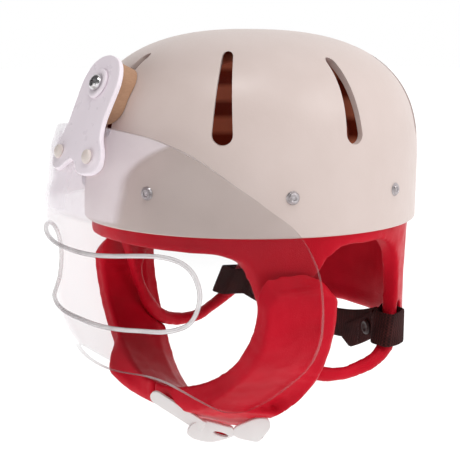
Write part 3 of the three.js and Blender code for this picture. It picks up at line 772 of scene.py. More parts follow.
@dataclass(frozen=True)
class ClearPlastic:
    """Clear polished sheet with painted light: a painted dim reflection of the dark room over most of it, painted shade
    high on the wearer's left, a painted reflection of a bright window at the brow, a painted glow over all but the
    wearer's left, and a painted pale reflection on the wearer's right.
    """

    # Pale colour of the painted reflections and of the painted glow.
    veil: Colour = srgb(236, 228, 236)
    # Painted shade: dark colour of the dim reflection of the dark room and of the shade high on the wearer's left.
    painted_shade: Colour = srgb(46, 38, 38)
    open_share: float = 0.015
    lean_share: float = 0.03
    lean_power: float = 6.0
    haze_share: float = 0.012
    # Share of the painted bright reflection at the brow.
    glare_share: float = 0.26
    # Share and heights of the painted shade high on the wearer's left.
    painted_shade_share: float = 0.09
    painted_shade_z: Pair = (-0.15, -0.108)
    # Painted pale reflection on the wearer's right: full share at the first x, none at the second.
    painted_side_reflection_x: Pair = (-0.05, 0.0)
    painted_side_reflection_share: float = 0.16
    # Edges of the painted bright reflection across and in height.
    glare_x: Pair = (0.042, 0.047)
    glare_z: Pair = (-0.0995, -0.0955)
    # Height from which the edge of the painted bright reflection turns away, and how fast.
    glare_corner: Pair = (-0.076, 34.0)
    # How soon the painted bright reflection and the painted side reflection turn the sheet pale.
    pale_by: Pair = (4.0, 8.0)
    # Strength of the painted glow over all but the wearer's left.
    glow: float = 0.1
    sheen: float = 0.3
    roughness: float = 0.06

    @cache
    def material(self) -> Look:
        """Material of the sheet's faces."""
        surface = Surface("clear_plastic", self.roughness)
        surface.set(Specular_IOR_Level=self.sheen, Emission_Color=self.veil)
        x, z = surface.place("X"), surface.place("Z")
        facing = surface.node("ShaderNodeLayerWeight", Blend=0.5).outputs["Facing"]
        lean = surface.math("POWER", facing, self.lean_power)
        veil = surface.ramp(lean, (0.0, self.open_share), (1.0, self.lean_share))
        haze = surface.ramp(surface.noise(30, 4), (0.4, 0.0), (0.75, self.haze_share))
        # Painted pale reflection, thicker towards the wearer's right.
        painted_side_reflection = surface.ramp(x, (self.painted_side_reflection_x[0], self.painted_side_reflection_share), (self.painted_side_reflection_x[1], 0.0))
        # Painted bright reflection of a window at the brow, kept off the wearer's left.
        over = surface.math("MAXIMUM", surface.math("SUBTRACT", z, self.glare_corner[0]), 0.0)
        turn = surface.math("MULTIPLY", surface.math("POWER", over, 2.0), self.glare_corner[1])
        across = surface.math("SUBTRACT", x, turn)
        aside = surface.ramp(across, (self.glare_x[0], 1.0), (self.glare_x[1], 0.0))
        above = surface.ramp(z, (self.glare_z[0], 0.0), (self.glare_z[1], self.glare_share))
        glare = surface.math("MULTIPLY", aside, above)
        # Painted shade high on the wearer's left, away from the painted bright reflection.
        higher = surface.ramp(z, (self.painted_shade_z[0], 0.0), (self.painted_shade_z[1], self.painted_shade_share))
        painted_shade = surface.math("MULTIPLY", surface.math("SUBTRACT", 1.0, aside), higher)
        shares = [surface.math("MULTIPLY", share, by) for share, by in zip((glare, painted_side_reflection), self.pale_by)]
        pale = surface.math("MINIMUM", surface.math("ADD", *shares), 1.0)
        surface.set(Base_Color=surface.blend(pale, self.painted_shade, self.veil))
        # Painted glow over all but the wearer's left.
        surface.set(Emission_Strength=surface.math("MULTIPLY", aside, self.glow))
        dim = surface.math("ADD", surface.math("ADD", veil, haze), painted_side_reflection)
        surface.set(Alpha=surface.math("ADD", dim, surface.math("ADD", glare, painted_shade)))
        surface.set(Roughness=surface.ramp(surface.noise(240, 3), (0.4, 0.03), (0.8, 0.16)))
        return surface.material


@dataclass(frozen=True)
class SheetEdge:
    """Cut edge of the clear sheet, which gathers light and looks pale and dense."""

    pale: Colour = srgb(248, 244, 245)
    grey: Colour = srgb(138, 126, 128)
    left_x: Pair = (-0.05, 0.03)
    left_share: float = 0.4
    rear_y: Pair = (-0.085, -0.045)
    rear_share: float = 0.45
    dense: Pair = (0.55, 0.85)
    roughness: float = 0.2

    @cache
    def material(self) -> Look:
        """Material of the sheet's edges."""
        surface = Surface("sheet_edge", self.roughness)
        facing = surface.node("ShaderNodeLayerWeight", Blend=0.5).outputs["Facing"]
        streaks = surface.ramp(surface.noise(60, 3), (0.35, -0.15), (0.7, 0.15))
        turned = surface.math("ADD", surface.ramp(facing, (0.25, 0.0), (0.85, 1.0)), streaks)
        surface.set(Base_Color=surface.blend(turned, self.pale, self.grey))
        rear = surface.ramp(surface.place("Y"), (self.rear_y[0], 1.0), (self.rear_y[1], self.rear_share))
        left = surface.ramp(surface.place("X"), (self.left_x[0], self.left_share), (self.left_x[1], 1.0))
        dense = surface.ramp(surface.noise(35, 2), (0.3, self.dense[0]), (0.7, self.dense[1]))
        surface.set(Alpha=surface.math("MULTIPLY", surface.math("MULTIPLY", dense, rear), left))
        return surface.material


@dataclass(frozen=True)
class MouldedPlastic:
    """Pale moulded plastic that lets a little light in, with faint flow marks."""

    name: str
    base: Colour
    shade: Colour
    roughness: float = 0.3
    glow: float = 0.15
    flow: float = 60.0
    depth: Colour = (0.004, 0.003, 0.0028)
    relief: float = 0.00002

    @cache
    def material(self) -> Look:
        """Material of the finish."""
        surface = Surface(self.name, self.roughness)
        flow = surface.ramp(surface.noise(self.flow, 3, (1, 1, 0.35)), (0.35, 0.0), (0.75, 0.35))
        surface.set(Base_Color=surface.blend(flow, self.base, self.shade))
        worn = surface.noise(180, 3)
        surface.set(Roughness=surface.ramp(worn, (0.3, self.roughness - 0.04), (0.8, self.roughness + 0.08)))
        surface.bump(surface.noise(300, 2), self.relief)
        surface.set(Subsurface_Weight=self.glow, Subsurface_Radius=self.depth, Subsurface_Scale=1.0)
        return surface.material


@dataclass(frozen=True)
class FleckedCoat:
    """Two colours mixed by a fine grain, which may also stand in slight relief."""

    name: str
    base: Colour
    fleck: Colour
    roughness: float
    grain: float
    detail: float
    low: Pair
    high: Pair
    stretch: Triple = (1, 1, 1)
    relief: float = 0.0
    metallic: float = 0.0

    @cache
    def material(self) -> Look:
        """Material of the finish."""
        surface = Surface(self.name, self.roughness, self.metallic)
        grain = surface.noise(self.grain, self.detail, self.stretch)
        surface.set(Base_Color=surface.blend(surface.ramp(grain, self.low, self.high), self.base, self.fleck))
        if self.relief:
            surface.bump(grain, self.relief)
        return surface.material


@dataclass(frozen=True)
class BareMetal:
    """Bright or satin metal with turning marks and a trace of tarnish."""

    name: str
    bright: Colour
    tarnish: Colour
    roughness: float
    marks: float = 700.0

    @cache
    def material(self) -> Look:
        """Material of the finish."""
        surface = Surface(self.name, self.roughness, 1.0)
        spots = surface.ramp(surface.noise(self.marks * 0.4, 4), (0.45, 0.0), (0.8, 0.8))
        surface.set(Base_Color=surface.blend(spots, self.bright, self.tarnish))
        turning = surface.noise(self.marks, 2)
        surface.set(Roughness=surface.ramp(turning, (0.3, self.roughness * 0.8), (0.8, self.roughness * 1.7)))
        return surface.material


@dataclass(frozen=True)
class Webbing:
    """Dark woven tape: ribs across, yarns along, and faded yarn tops. UV is in millimetres."""

    yarn: Colour = srgb(26, 9, 10)
    worn: Colour = srgb(82, 38, 36)
    rib: float = 2.3
    fade: float = 120.0
    relief: float = 0.0004
    sheen: float = 0.15
    roughness: float = 0.85

    @cache
    def material(self) -> Look:
        """Material of the finish."""
        surface = Surface("webbing", self.roughness)
        split = surface.node("ShaderNodeSeparateXYZ", Vector=surface.coords(Coords.UV))
        along, across = split.outputs["X"], split.outputs["Y"]
        lines = surface.math("SINE", surface.math("MULTIPLY", along, 2 * math.pi / self.rib))
        yarns = surface.math("SINE", surface.math("MULTIPLY", across, 2 * math.pi / (0.8 * self.rib)))
        weave = surface.math("MULTIPLY", lines, yarns)
        ribs = surface.math("ADD", weave, surface.math("MULTIPLY", lines, 0.8))
        height = surface.ramp(ribs, (-1.6, 0.0), (1.6, 1.0))
        fade = surface.math("MULTIPLY", height, surface.ramp(surface.noise(self.fade, 4), (0.35, 0.4), (0.7, 1.0)))
        surface.set(Base_Color=surface.blend(fade, self.yarn, self.worn))
        surface.bump(height, self.relief)
        surface.set(Specular_IOR_Level=self.sheen)
        return surface.material


class ShapeNodes(NodeBuilder):
    """A geometry node tree that repeats one small form over the points of a mesh."""

    def __init__(self, name: str, sizes: dict[str, float]) -> None:
        """Starts a tree with a geometry input, named sizes and a material.

        Args:
            name: tree name.
            sizes: named inputs and their values in metres.
        """
        super().__init__(bpy.data.node_groups.new(name, "GeometryNodeTree"))
        self.sizes = sizes
        kinds = {"Geometry": "NodeSocketGeometry"}
        kinds |= dict.fromkeys(sizes, "NodeSocketFloat") | {"Material": "NodeSocketMaterial"}
        for label, kind in kinds.items():
            self.tree.interface.new_socket(name=label, in_out="INPUT", socket_type=kind)
        self.tree.interface.new_socket(name="Geometry", in_out="OUTPUT", socket_type="NodeSocketGeometry")
        self.source = self.tree.nodes.new("NodeGroupInput")
        self.target = self.tree.nodes.new("NodeGroupOutput")

    def times(self, name: str, factor: float) -> Socket:
        """A named size times a factor."""
        return self.math("MULTIPLY", self.source.outputs[name], factor)

    def lifted(self, mesh: Socket, height: Socket) -> Socket:
        """Mesh moved up its own axis by a height."""
        offset = self.node("ShaderNodeCombineXYZ", Z=height).outputs[0]
        return self.node("GeometryNodeTransform", Geometry=mesh, Translation=offset).outputs[0]

    def joined(self, *meshes: Socket) -> Socket:
        """Several geometries as one.

        Args:
            meshes: geometry sockets.

        Returns:
            The joined geometry.
        """
        made = self.tree.nodes.new("GeometryNodeJoinGeometry")
        for mesh in reversed(meshes):
            self.tree.links.new(mesh, made.inputs[0])
        return made.outputs[0]

    def spread(self, form: Socket) -> None:
        """Repeats a form over the input's points and ends the tree.

        Args:
            form: geometry whose Z lies along the points' "axis" and whose X lies along their "along".
        """
        axis, along = (self.tree.nodes.new("GeometryNodeInputNamedAttribute") for _ in range(2))
        for found, name in ((axis, "axis"), (along, "along")):
            found.data_type = "FLOAT_VECTOR"
            found.inputs["Name"].default_value = name
        first = self.node("FunctionNodeAlignRotationToVector", Vector=along.outputs[0])
        first.axis = "X"
        second = self.node("FunctionNodeAlignRotationToVector", Vector=axis.outputs[0], Rotation=first.outputs[0])
        second.axis, second.pivot_axis = "Z", "X"
        points = self.node(
            "GeometryNodeInstanceOnPoints",
            Points=self.source.outputs["Geometry"], Instance=form, Rotation=second.outputs[0],
        )
        plain = self.node("GeometryNodeRealizeInstances", Geometry=points.outputs[0])
        done = self.node("GeometryNodeSetMaterial", Geometry=plain.outputs[0], Material=self.source.outputs["Material"])
        self.tree.links.new(done.outputs[0], self.target.inputs[0])

    def make(self, name: str, seats: Points, axes: Points, along: Points, look: Look) -> Piece:
        """Runs the tree over seats and returns its plain mesh.

        Args:
            name: piece name.
            seats: places in millimetres.
            axes: direction of each form's axis.
            along: direction of each form's length.
            look: material of the forms.

        Returns:
            The object.
        """
        made = new_object(name, seats, [])
        for label, rows in (("axis", axes), ("along", along)):
            layer = made.data.attributes.new(label, "FLOAT_VECTOR", "POINT")
            layer.data.foreach_set("vector", np.asarray(rows, np.float32).ravel())
        step = made.modifiers.new("repeat", "NODES")
        step.node_group = self.tree
        names = {item.name: item.identifier for item in self.tree.interface.items_tree if item.in_out == "INPUT"}
        for size, value in self.sizes.items():
            step[names[size]] = value
        step[names["Material"]] = look
        settle(made)
        made.data.shade_smooth()
        made.data.set_sharp_from_angle(angle=math.radians(35))
        return made


def finish_piece(
    made: Piece, look: Look | None, nodes: Sequence[str]
) -> Piece:
    """Dresses a piece and hands it to the frame.

    Args:
        made: finished object.
        look: material, or None if the object has its own.
        nodes: CAD nodes that the piece stands for.

    Returns:
        The object.
    """
    if look is not None:
        made.data.materials.clear()
        made.data.materials.append(look)
        made.data.polygons.foreach_set("material_index", [0] * len(made.data.polygons))
    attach(made, "root")
    if nodes:
        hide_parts(*nodes)
    LOG.info("%s: %d faces", made.name, len(made.data.polygons))
    return made


@dataclass
class Dome:
    """The oval crown that the shell and the liner share."""

    half_length: float = 115
    half_width: float = 103.8
    height: float = 122.5
    straight: float = 30
    inward: float = 2.4
    upward: float = 3.0

    @property
    def oval(self) -> float:
        """Width as a share of the length."""
        return self.half_width / self.half_length

    def crown(self, inset: float, steps: int) -> Points:
        """Profile from the axis down to the straight wall.

        Args:
            inset: distance inside the outer face.
            steps: stretches that the profile is divided into.

        Returns:
            Rows of radius and height.
        """
        turn = np.linspace(0, math.pi / 2, steps + 1)
        reach = np.sin(turn) ** (2 / self.inward)
        rise = np.clip(np.cos(turn), 0, 1) ** (2 / self.upward)
        high = self.height - inset - self.straight
        return np.stack([(self.half_length - inset) * reach, self.straight + high * rise], -1)

    def on_wall(self, degrees: float, height: float) -> tuple[Points, Points]:
        """Place on the outer wall and the wall's normal there.

        Args:
            degrees: section angle from the face towards the wearer's left.
            height: height over the rim.

        Returns:
            Place and normal.
        """
        turn = math.radians(degrees)
        place = np.array([self.half_width * math.sin(turn), -self.half_length * math.cos(turn), height])
        return place, unit([math.sin(turn) / self.half_width, -math.cos(turn) / self.half_length, 0])


@dataclass
class Vents:
    """Tapered slots through the crown."""

    dome: Dome
    # Section angle and top height of each slot.
    slots: tuple[Pair, ...] = (
        (0, 106.5), (46.5, 109), (90, 106), (135, 107), (180, 106.5), (225, 107), (270, 106), (313.5, 109),
    )
    bottom: float = 54.9
    width_bottom: float = 12.6
    width_top: float = 6.8
    end_steps: tuple[int, int] = (17, 15)
    inside: float = 62
    outside: float = 15

    def cutters(self, extra: float) -> list[Piece]:
        """Closed cutters for all slots.

        Args:
            extra: how much wider the slots are on each side.

        Returns:
            The cutters.
        """
        low, high = self.width_bottom / 2 + extra, self.width_top / 2 + extra
        made = []
        for degrees, top in self.slots:
            outline = capsule((low, self.bottom - extra, low), (high, top + extra, high), self.end_steps)
            place, push = self.dome.on_wall(degrees, 0)
            across = np.cross((0, 0, 1), push)
            start, depth = place - self.inside * push, self.inside + self.outside
            made.append(prism(outline, start, (across, (0, 0, 1), push), depth))
        return made


@dataclass
class Shell:
    """Hard outer shell with its vents and rivets."""

    dome: Dome
    vents: Vents
    wall: float = 4.5
    rim_round: float = 1.4
    crown_steps: int = 46
    sides: int = 224
    crease_angle: float = 35
    rivet_height: float = 24.5
    rivet_lift: float = 0.15
    rivet_angles: tuple[float, ...] = (21.5, 68.5, 110, 157.5, 202.5, 250, 291.5, 338.5)
    rivet_sizes: dict[str, float] = field(default_factory=lambda: {"Head radius": 0.0042, "Head rise": 0.0017})
    finish: ShellPlastic = ShellPlastic()
    metal: BareMetal = BareMetal("rivet_metal", srgb(190, 184, 186), srgb(120, 108, 106), 0.34)

    def profile(self) -> Points:
        """Closed profile of the shell's wall."""
        half, wall, edge = self.dome.half_length, self.wall, self.rim_round
        turn = np.linspace(0, math.pi / 2, 5)
        outer_wall = [(half, z) for z in np.linspace(self.dome.straight, edge, 10)[1:-1]]
        rim = [(half - edge + edge * math.cos(t), edge - edge * math.sin(t)) for t in turn]
        small = edge * 0.5
        rim += [(half - wall + small - small * math.sin(t), small - small * math.cos(t)) for t in turn]
        inner_wall = [(half - wall, z) for z in np.linspace(small, self.dome.straight, 10)[1:-1]]
        inner = self.dome.crown(wall, self.crown_steps)[::-1]
        return np.vstack([self.dome.crown(0, self.crown_steps), outer_wall, rim, inner_wall, inner])

    def build(self) -> Piece:
        """Shell with its vents cut."""
        points, faces = revolve(self.profile(), self.sides, self.dome.oval)
        made = outward(new_object("hard_shell", points, faces))
        cut(made, *self.vents.cutters(0))
        made.data.shade_smooth()
        made.data.set_sharp_from_angle(angle=math.radians(self.crease_angle))
        return made

    def rivets(self) -> Piece:
        """All shell rivets, repeated by geometry nodes."""
        nodes = ShapeNodes("shell_rivet_heads", self.rivet_sizes)

        def wide(share: float) -> Socket:
            """Share of the head's radius."""
            return nodes.times("Head radius", share)

        def high(share: float) -> Socket:
            """Share of the head's rise."""
            return nodes.times("Head rise", share)

        circle = "GeometryNodeCurvePrimitiveCircle"
        flange = nodes.node(
            "GeometryNodeMeshCone", Vertices=28, Radius_Bottom=wide(1), Radius_Top=wide(0.84), Depth=high(0.55)
        )
        ring = nodes.node(circle, Resolution=28, Radius=wide(0.55)).outputs[0]
        bead = nodes.node(circle, Resolution=10, Radius=wide(0.2)).outputs[0]
        collar = nodes.node("GeometryNodeCurveToMesh", Curve=ring, Profile_Curve=bead).outputs[0]
        stem = nodes.node("GeometryNodeMeshCylinder", Vertices=20, Radius=wide(0.26), Depth=high(0.7))
        nodes.spread(nodes.joined(
            flange.outputs["Mesh"], nodes.lifted(collar, high(0.5)), nodes.lifted(stem.outputs["Mesh"], high(0.25))
        ))
        seats = [self.dome.on_wall(degrees, self.rivet_height) for degrees in self.rivet_angles]
        places, normals = (np.array(rows) for rows in zip(*seats))
        upright = np.tile((0.0, 0.0, 1.0), (len(seats), 1))
        return nodes.make("shell_rivets", places + self.rivet_lift * normals, normals, upright, self.metal.material())

    def dress(self) -> None:
        """Builds and hands over the shell and its rivets."""
        finish_piece(self.build(), self.finish.material(), ["shell"])
        names = [f"shell_rivet_{i + 1}" for i in range(len(self.rivet_angles))]
        finish_piece(self.rivets(), None, names)


@dataclass
class Liner:
    """Coated foam lining: crown, brow band, ear-front pieces, ear rings and nape skirt in one."""

    dome: Dome
    vents: Vents
    inset: float = 4.9
    foam: float = 12
    # Height, half length and thickness of the skirt.
    rings: tuple[Triple, ...] = (
        (-104, 102, 6.5), (-75, 105, 8), (-50, 107.5, 10.5), (-25, 109, 11.5), (0, 110.2, 12),
    )
    # Narrowing per millimetre of depth, where it starts along the head and over what length.
    jaw: Triple = (0.0013, 20, 60)
    # Most widening, the depth it is reached at, and where it starts and is full along the head.
    flare: Four = (0.12, 80, 20, 50)
    lower_edge: tuple[Pair, ...] = (
        (-76, -11), (-69, -13.2), (-63, -16.2), (-58, -22.5), (-54.5, -31), (-50, -42), (-44, -60), (-37, -76),
        (-26, -88), (-12, -94.6), (4, -97), (16, -97), (28, -93), (38.5, -87.6), (48, -80.6), (54.5, -72.4),
        (58.5, -62),
    )
    brow: Pair = (-130, -9)
    notch: Triple = (58.5, 66, -54)
    nape: Pair = (130, -76)
    ear: tuple[Pair, ...] = (
        (-18, -22.5), (-13, -15), (-2, -8.5), (18, -7.4), (36, -8.2), (50, -16), (57, -28), (58, -40), (55, -52),
        (50, -61.5), (46.6, -70), (41, -77.8), (27, -85.8), (5, -89.2), (-18, -83), (-31, -70), (-40, -52), (-38, -41),
    )
    ear_reach: Pair = (-20, 12)
    # Place along the head of the full lean, height that it starts at and over what height.
    ear_lean: Triple = (40, -64, 14)
    # Heights where the rounding starts and is full, rounds of smoothing and filling out.
    ring_round: Four = (-64, -74, 20, 1.6)
    vent_room: float = 1.5
    # Depth, length and seed of each set of swells.
    swells: tuple[tuple[float, float, int], ...] = ((0.35, 55, 3), (0.12, 17, 4))
    swell_from: float = 12
    reach: float = 160
    sides: int = 200
    crown_steps: int = 36
    skirt_steps: int = 42
    voxel: float = 1.8
    passes: int = 60
    fill: float = 0.9
    finish: CoatedFoam = CoatedFoam()

    def half_at(self, z: Points | float) -> Points:
        """Half length of the skirt's outer face at heights."""
        return lerp_table([(ring[0], ring[1]) for ring in self.rings], z)

    def wall_at(self, z: Points | float) -> Points:
        """Thickness of the skirt at heights."""
        return lerp_table([(ring[0], ring[2]) for ring in self.rings], z)

    def width_factor(self, y: Points, z: Points) -> Points:
        """Width factor of the skirt: narrower at the jaw, wider at the limbs behind the ears.

        Args:
            y: places along the head.
            z: heights.

        Returns:
            Factors on the width.
        """
        depth = np.maximum(-np.asarray(z, float), 0)
        front = np.clip((self.jaw[1] - y) / self.jaw[2], 0, 1)
        most, at_depth, from_y, full_y = self.flare
        rear = np.clip((y - from_y) / (full_y - from_y), 0, 1)
        return 1 - self.jaw[0] * depth * front + most * (depth / at_depth) ** 3 * rear

    def sideways(self, outline: Points) -> Piece:
        """Cutter that runs across the whole head from a side outline."""
        return prism(outline, np.array([-self.reach, 0, 0]), ((0, 1, 0), (0, 0, 1), (1, 0, 0)), 2 * self.reach)

    def under_outline(self) -> Points:
        """Side outline of everything below the lower edge."""
        floor = -self.reach
        edge = smooth_curve(self.lower_edge, False, 6)
        start, stop, top = self.notch
        return np.vstack([
            [(self.brow[0], floor), self.brow], edge, [(start, top), (stop, top), (stop, self.nape[1])],
            [(self.nape[0], self.nape[1]), (self.nape[0], floor)],
        ])

    def ear_cutter(self, side: Side) -> Piece:
        """Cutter for one ear opening, whose wall leans towards the skirt's normal behind the ear.

        Args:
            side: which ear.

        Returns:
            The cutter.
        """
        y, z = smooth_curve(self.ear, True, 5).T
        half = self.half_at(z)
        width = self.dome.oval * half * self.width_factor(y, z)
        x = width * np.sqrt(1 - (y / half) ** 2)
        full_y, start, over = self.ear_lean
        lean = np.clip(y / full_y, 0, 1) * np.clip((z - start) / over, 0, 1)
        normal = unit_rows(np.stack([x / width ** 2, lean * y / half ** 2], -1))
        rings = [
            np.stack([side.value * (x + offset * normal[:, 0]), y + offset * normal[:, 1], z], -1)
            for offset in self.ear_reach
        ]
        return outward(new_object("cutter", np.vstack(rings), band(2, len(y))))

    def build(self) -> Piece:
        """Lining with its openings cut and its edges softened."""
        levels = np.linspace(0, self.rings[0][0], self.skirt_steps)
        outer = np.stack([self.half_at(levels), levels], -1)
        inner = np.stack([self.half_at(levels) - self.wall_at(levels), levels], -1)[::-1]
        crown = self.dome.crown(self.inset, self.crown_steps)
        walls = np.array([(self.dome.half_length - self.inset, z) for z in (20, 10)])
        within = self.dome.crown(self.inset + self.foam, self.crown_steps)[::-1]
        profile = np.vstack([crown, walls, outer, inner, walls[::-1] - (self.foam, 0), within])
        points, faces = revolve(profile, self.sides, self.dome.oval)
        points[:, 0] *= self.width_factor(points[:, 1], points[:, 2])
        made = outward(new_object("foam_liner", points, faces))
        cut(made, self.sideways(self.under_outline()), *(self.ear_cutter(side) for side in Side))
        cut(made, *self.vents.cutters(self.vent_room))
        soften(made, self.voxel, self.passes)
        self.even_rings(made)
        return self.swell(made)

    def even_rings(self, made: Piece) -> None:
        """Turns the ear rings into even round bars: smoothed thin, then filled out again.

        Args:
            made: softened lining.
        """
        start, stop, passes, fill = self.ring_round
        points = points_of(made)
        weight = np.clip((start - points[:, 2]) / (start - stop), 0, 1)[:, None]
        set_points(made, relax(made, points, [0.5 * weight] * int(passes)))
        puff(made, fill * weight)

    def swell(self, made: Piece) -> Piece:
        """Gives the skirt the slight unevenness of dipped foam, none under the shell.

        Args:
            made: softened lining.

        Returns:
            The same object.
        """
        points = points_of(made)
        below = np.clip(-points[:, 2] / self.swell_from, 0, 1)
        return puff(made, below * sum(depth * wavy(points, length, seed) for depth, length, seed in self.swells))

    def dress(self) -> Piece:
        """Builds and hands over the lining."""
        return finish_piece(self.build(), self.finish.material(), ["liner"])


@dataclass
class FaceGuard:
    """Clear bubble with one wide window."""

    wall: float = 3
    square: tuple[Pair, ...] = ((25, 2.35), (45, 2.6))
    # Height, half length and half width of the outer face.
    sections: tuple[Triple, ...] = (
        (-120, 100, 62), (-105, 107, 78.5), (-95, 114, 88), (-85, 121, 98), (-75, 127, 106), (-60, 133, 113),
        (-45, 135, 115), (-30, 136, 115.5), (0, 141, 115.5), (18, 138, 114.5), (25, 136, 113.2), (36, 133.6, 112.6),
        (45, 131.2, 112), (63, 124.6, 109.5),
    )
    top: tuple[Pair, ...] = (
        (0, 63), (10, 62.2), (28, 58), (45, 47), (57, 32), (65, 20), (71, 10.5), (74.5, 2), (77, -8), (79.5, -26),
    )
    bottom: tuple[Pair, ...] = (
        (0, -90), (24, -87), (31, -90), (37, -96), (45, -105), (57, -115), (67, -115), (74, -104), (79.5, -82),
    )
    # Degrees from the middle, upper edge and lower edge.
    window: tuple[Triple, ...] = (
        (0, -13, -57), (9, -12.3, -57), (18, -10.4, -55.8), (26, -8.5, -54.3), (33, -7.7, -53.4), (38, -8.9, -51),
        (41.5, -12, -47.5), (43.7, -17, -41.5), (45, -25, -33),
    )
    # Half width, rear end and top of the space where the foam may stand out of the guard.
    free_room: Triple = (58, -30, -103)
    # Widening under the guard's lower edge, the height it starts at and over what height.
    open_below: Triple = (0.4, -114, 12)
    blur: float = 2.6
    degree: float = 2.0
    spacing: float = 2.6
    edge_round: float = 1.3
    bead: float = 1.45
    bead_sides: int = 10
    finish: ClearPlastic = ClearPlastic()
    edge: SheetEdge = SheetEdge()

    def __post_init__(self) -> None:
        """Prepares the smoothed section sizes."""
        rows = np.array(self.sections, float)
        self._heights = np.arange(-150, 80, 0.5)
        soft = np.exp(-0.5 * (np.arange(-10, 10.5, 0.5) / self.blur) ** 2)
        soft /= soft.sum()
        pad = len(soft) // 2
        self._sizes = []
        for column in (1, 2):
            plain = np.interp(self._heights, rows[:, 0], rows[:, column])
            held = np.concatenate([np.full(pad, plain[0]), plain, np.full(pad, plain[-1])])
            self._sizes.append(np.convolve(held, soft, "valid"))

    def half_sizes(self, z: Points) -> tuple[Points, Points]:
        """Half length and half width of the outer face at heights."""
        return tuple(np.interp(z, self._heights, size) for size in self._sizes)

    def on_face(self, flat: Points, offset: float) -> Points:
        """Places on the guard for flat rows of stretched angle and height.

        Args:
            flat: rows of angle times the stretch, and height.
            offset: distance outside the outer face.

        Returns:
            The places.
        """
        turn, z = np.radians(flat[:, 0] / self.degree), flat[:, 1]
        length, width = self.half_sizes(z)
        power = 2 / lerp_table(self.square, z)
        across = np.sign(turn) * np.abs(np.sin(turn)) ** power
        ahead = np.clip(np.cos(turn), 0, 1) ** power
        return np.stack([(width + offset) * across, -(length + offset) * ahead, z], -1)

    def press_inside(self, points: Points, gap: float) -> Points:
        """Pushes places that lie outside the guard's inner face onto it.

        Args:
            points: places to press.
            gap: distance to keep from the inner face.

        Returns:
            The pressed places.
        """
        length, width = self.half_sizes(points[:, 2])
        most, from_z, over = self.open_below
        opening = 1 + most * np.clip((from_z - points[:, 2]) / over, 0, 1)
        length, width = ((size - self.wall - gap) * opening for size in (length, width))
        ahead = np.maximum(-points[:, 1], 0)
        square = lerp_table(self.square, points[:, 2])
        reach = (np.abs(points[:, 0]) / width) ** square + (ahead / length) ** square
        scale = np.where(reach > 1, np.maximum(reach, 1) ** (-1 / square), 1)
        side, rear, low = self.free_room
        under = np.clip((side - np.abs(points[:, 0])) / 5, 0, 1) * np.clip((low - points[:, 2]) / 5, 0, 1)
        free = np.maximum(under, np.clip((points[:, 1] - rear) / 6, 0, 1))
        scale += (1 - scale) * free
        pressed = points.copy()
        pressed[:, 0] *= scale
        pressed[:, 1] = np.where(points[:, 1] < 0, points[:, 1] * scale, points[:, 1])
        return pressed

    def border(self, upper: Sequence[Pair], lower: Sequence[Pair], spacing: float) -> Points:
        """Closed border from its left half, mirrored.

        Args:
            upper: rows of degrees and height along the upper edge, from the middle outwards.
            lower: the same along the lower edge.
            spacing: distance between the border's points.

        Returns:
            Rows of stretched angle and height.
        """
        half = [*upper, *reversed(lower)]
        mirrored = [(-a, z) for a, z in reversed(half) if a > 0]
        return even(smooth_curve([(a * self.degree, z) for a, z in half + mirrored], True, 8), spacing)

    def outline(self) -> Points:
        """Border of the guard as stretched angle and height."""
        return self.border(self.top, self.bottom, self.spacing)

    def opening(self) -> Points:
        """Border of the window as stretched angle and height."""
        upper, lower = ([(row[0], row[k]) for row in self.window] for k in (1, 2))
        return self.border(upper, lower, self.spacing * 0.7)

    def build(self) -> Piece:
        """Guard with its window, its edges as a second material."""
        made = plate(
            "clear_faceguard", self.outline(), [self.opening()], self.spacing,
            lambda flat: self.on_face(flat, 0), lambda flat: self.on_face(flat, -self.wall),
        )
        made.data.materials.append(self.finish.material())
        made.data.materials.append(self.edge.material())
        return round_edges(made, self.edge_round, 4, 50, 1)

    def rim(self) -> Piece:
        """Rounded bead round the window's cut edge."""
        ring = self.on_face(self.opening(), -self.wall / 2)
        along = unit_rows(np.roll(ring, -1, axis=0) - np.roll(ring, 1, axis=0))
        out = ring * (1, 1, 0)
        out = unit_rows(out - (out * along).sum(axis=1)[:, None] * along)
        side = np.cross(along, out)
        turns = np.linspace(0, 2 * math.pi, self.bead_sides, endpoint=False)
        rows = [ring + self.bead * (math.cos(turn) * out + math.sin(turn) * side) for turn in turns]
        faces = band(self.bead_sides, len(ring), True)
        return outward(new_object("faceguard_window_rim", np.vstack(rows), faces))

    def dress(self) -> None:
        """Builds and hands over the guard and its window's rim."""
        finish_piece(self.build(), None, ["faceguard"])
        finish_piece(self.rim(), self.edge.material(), [])


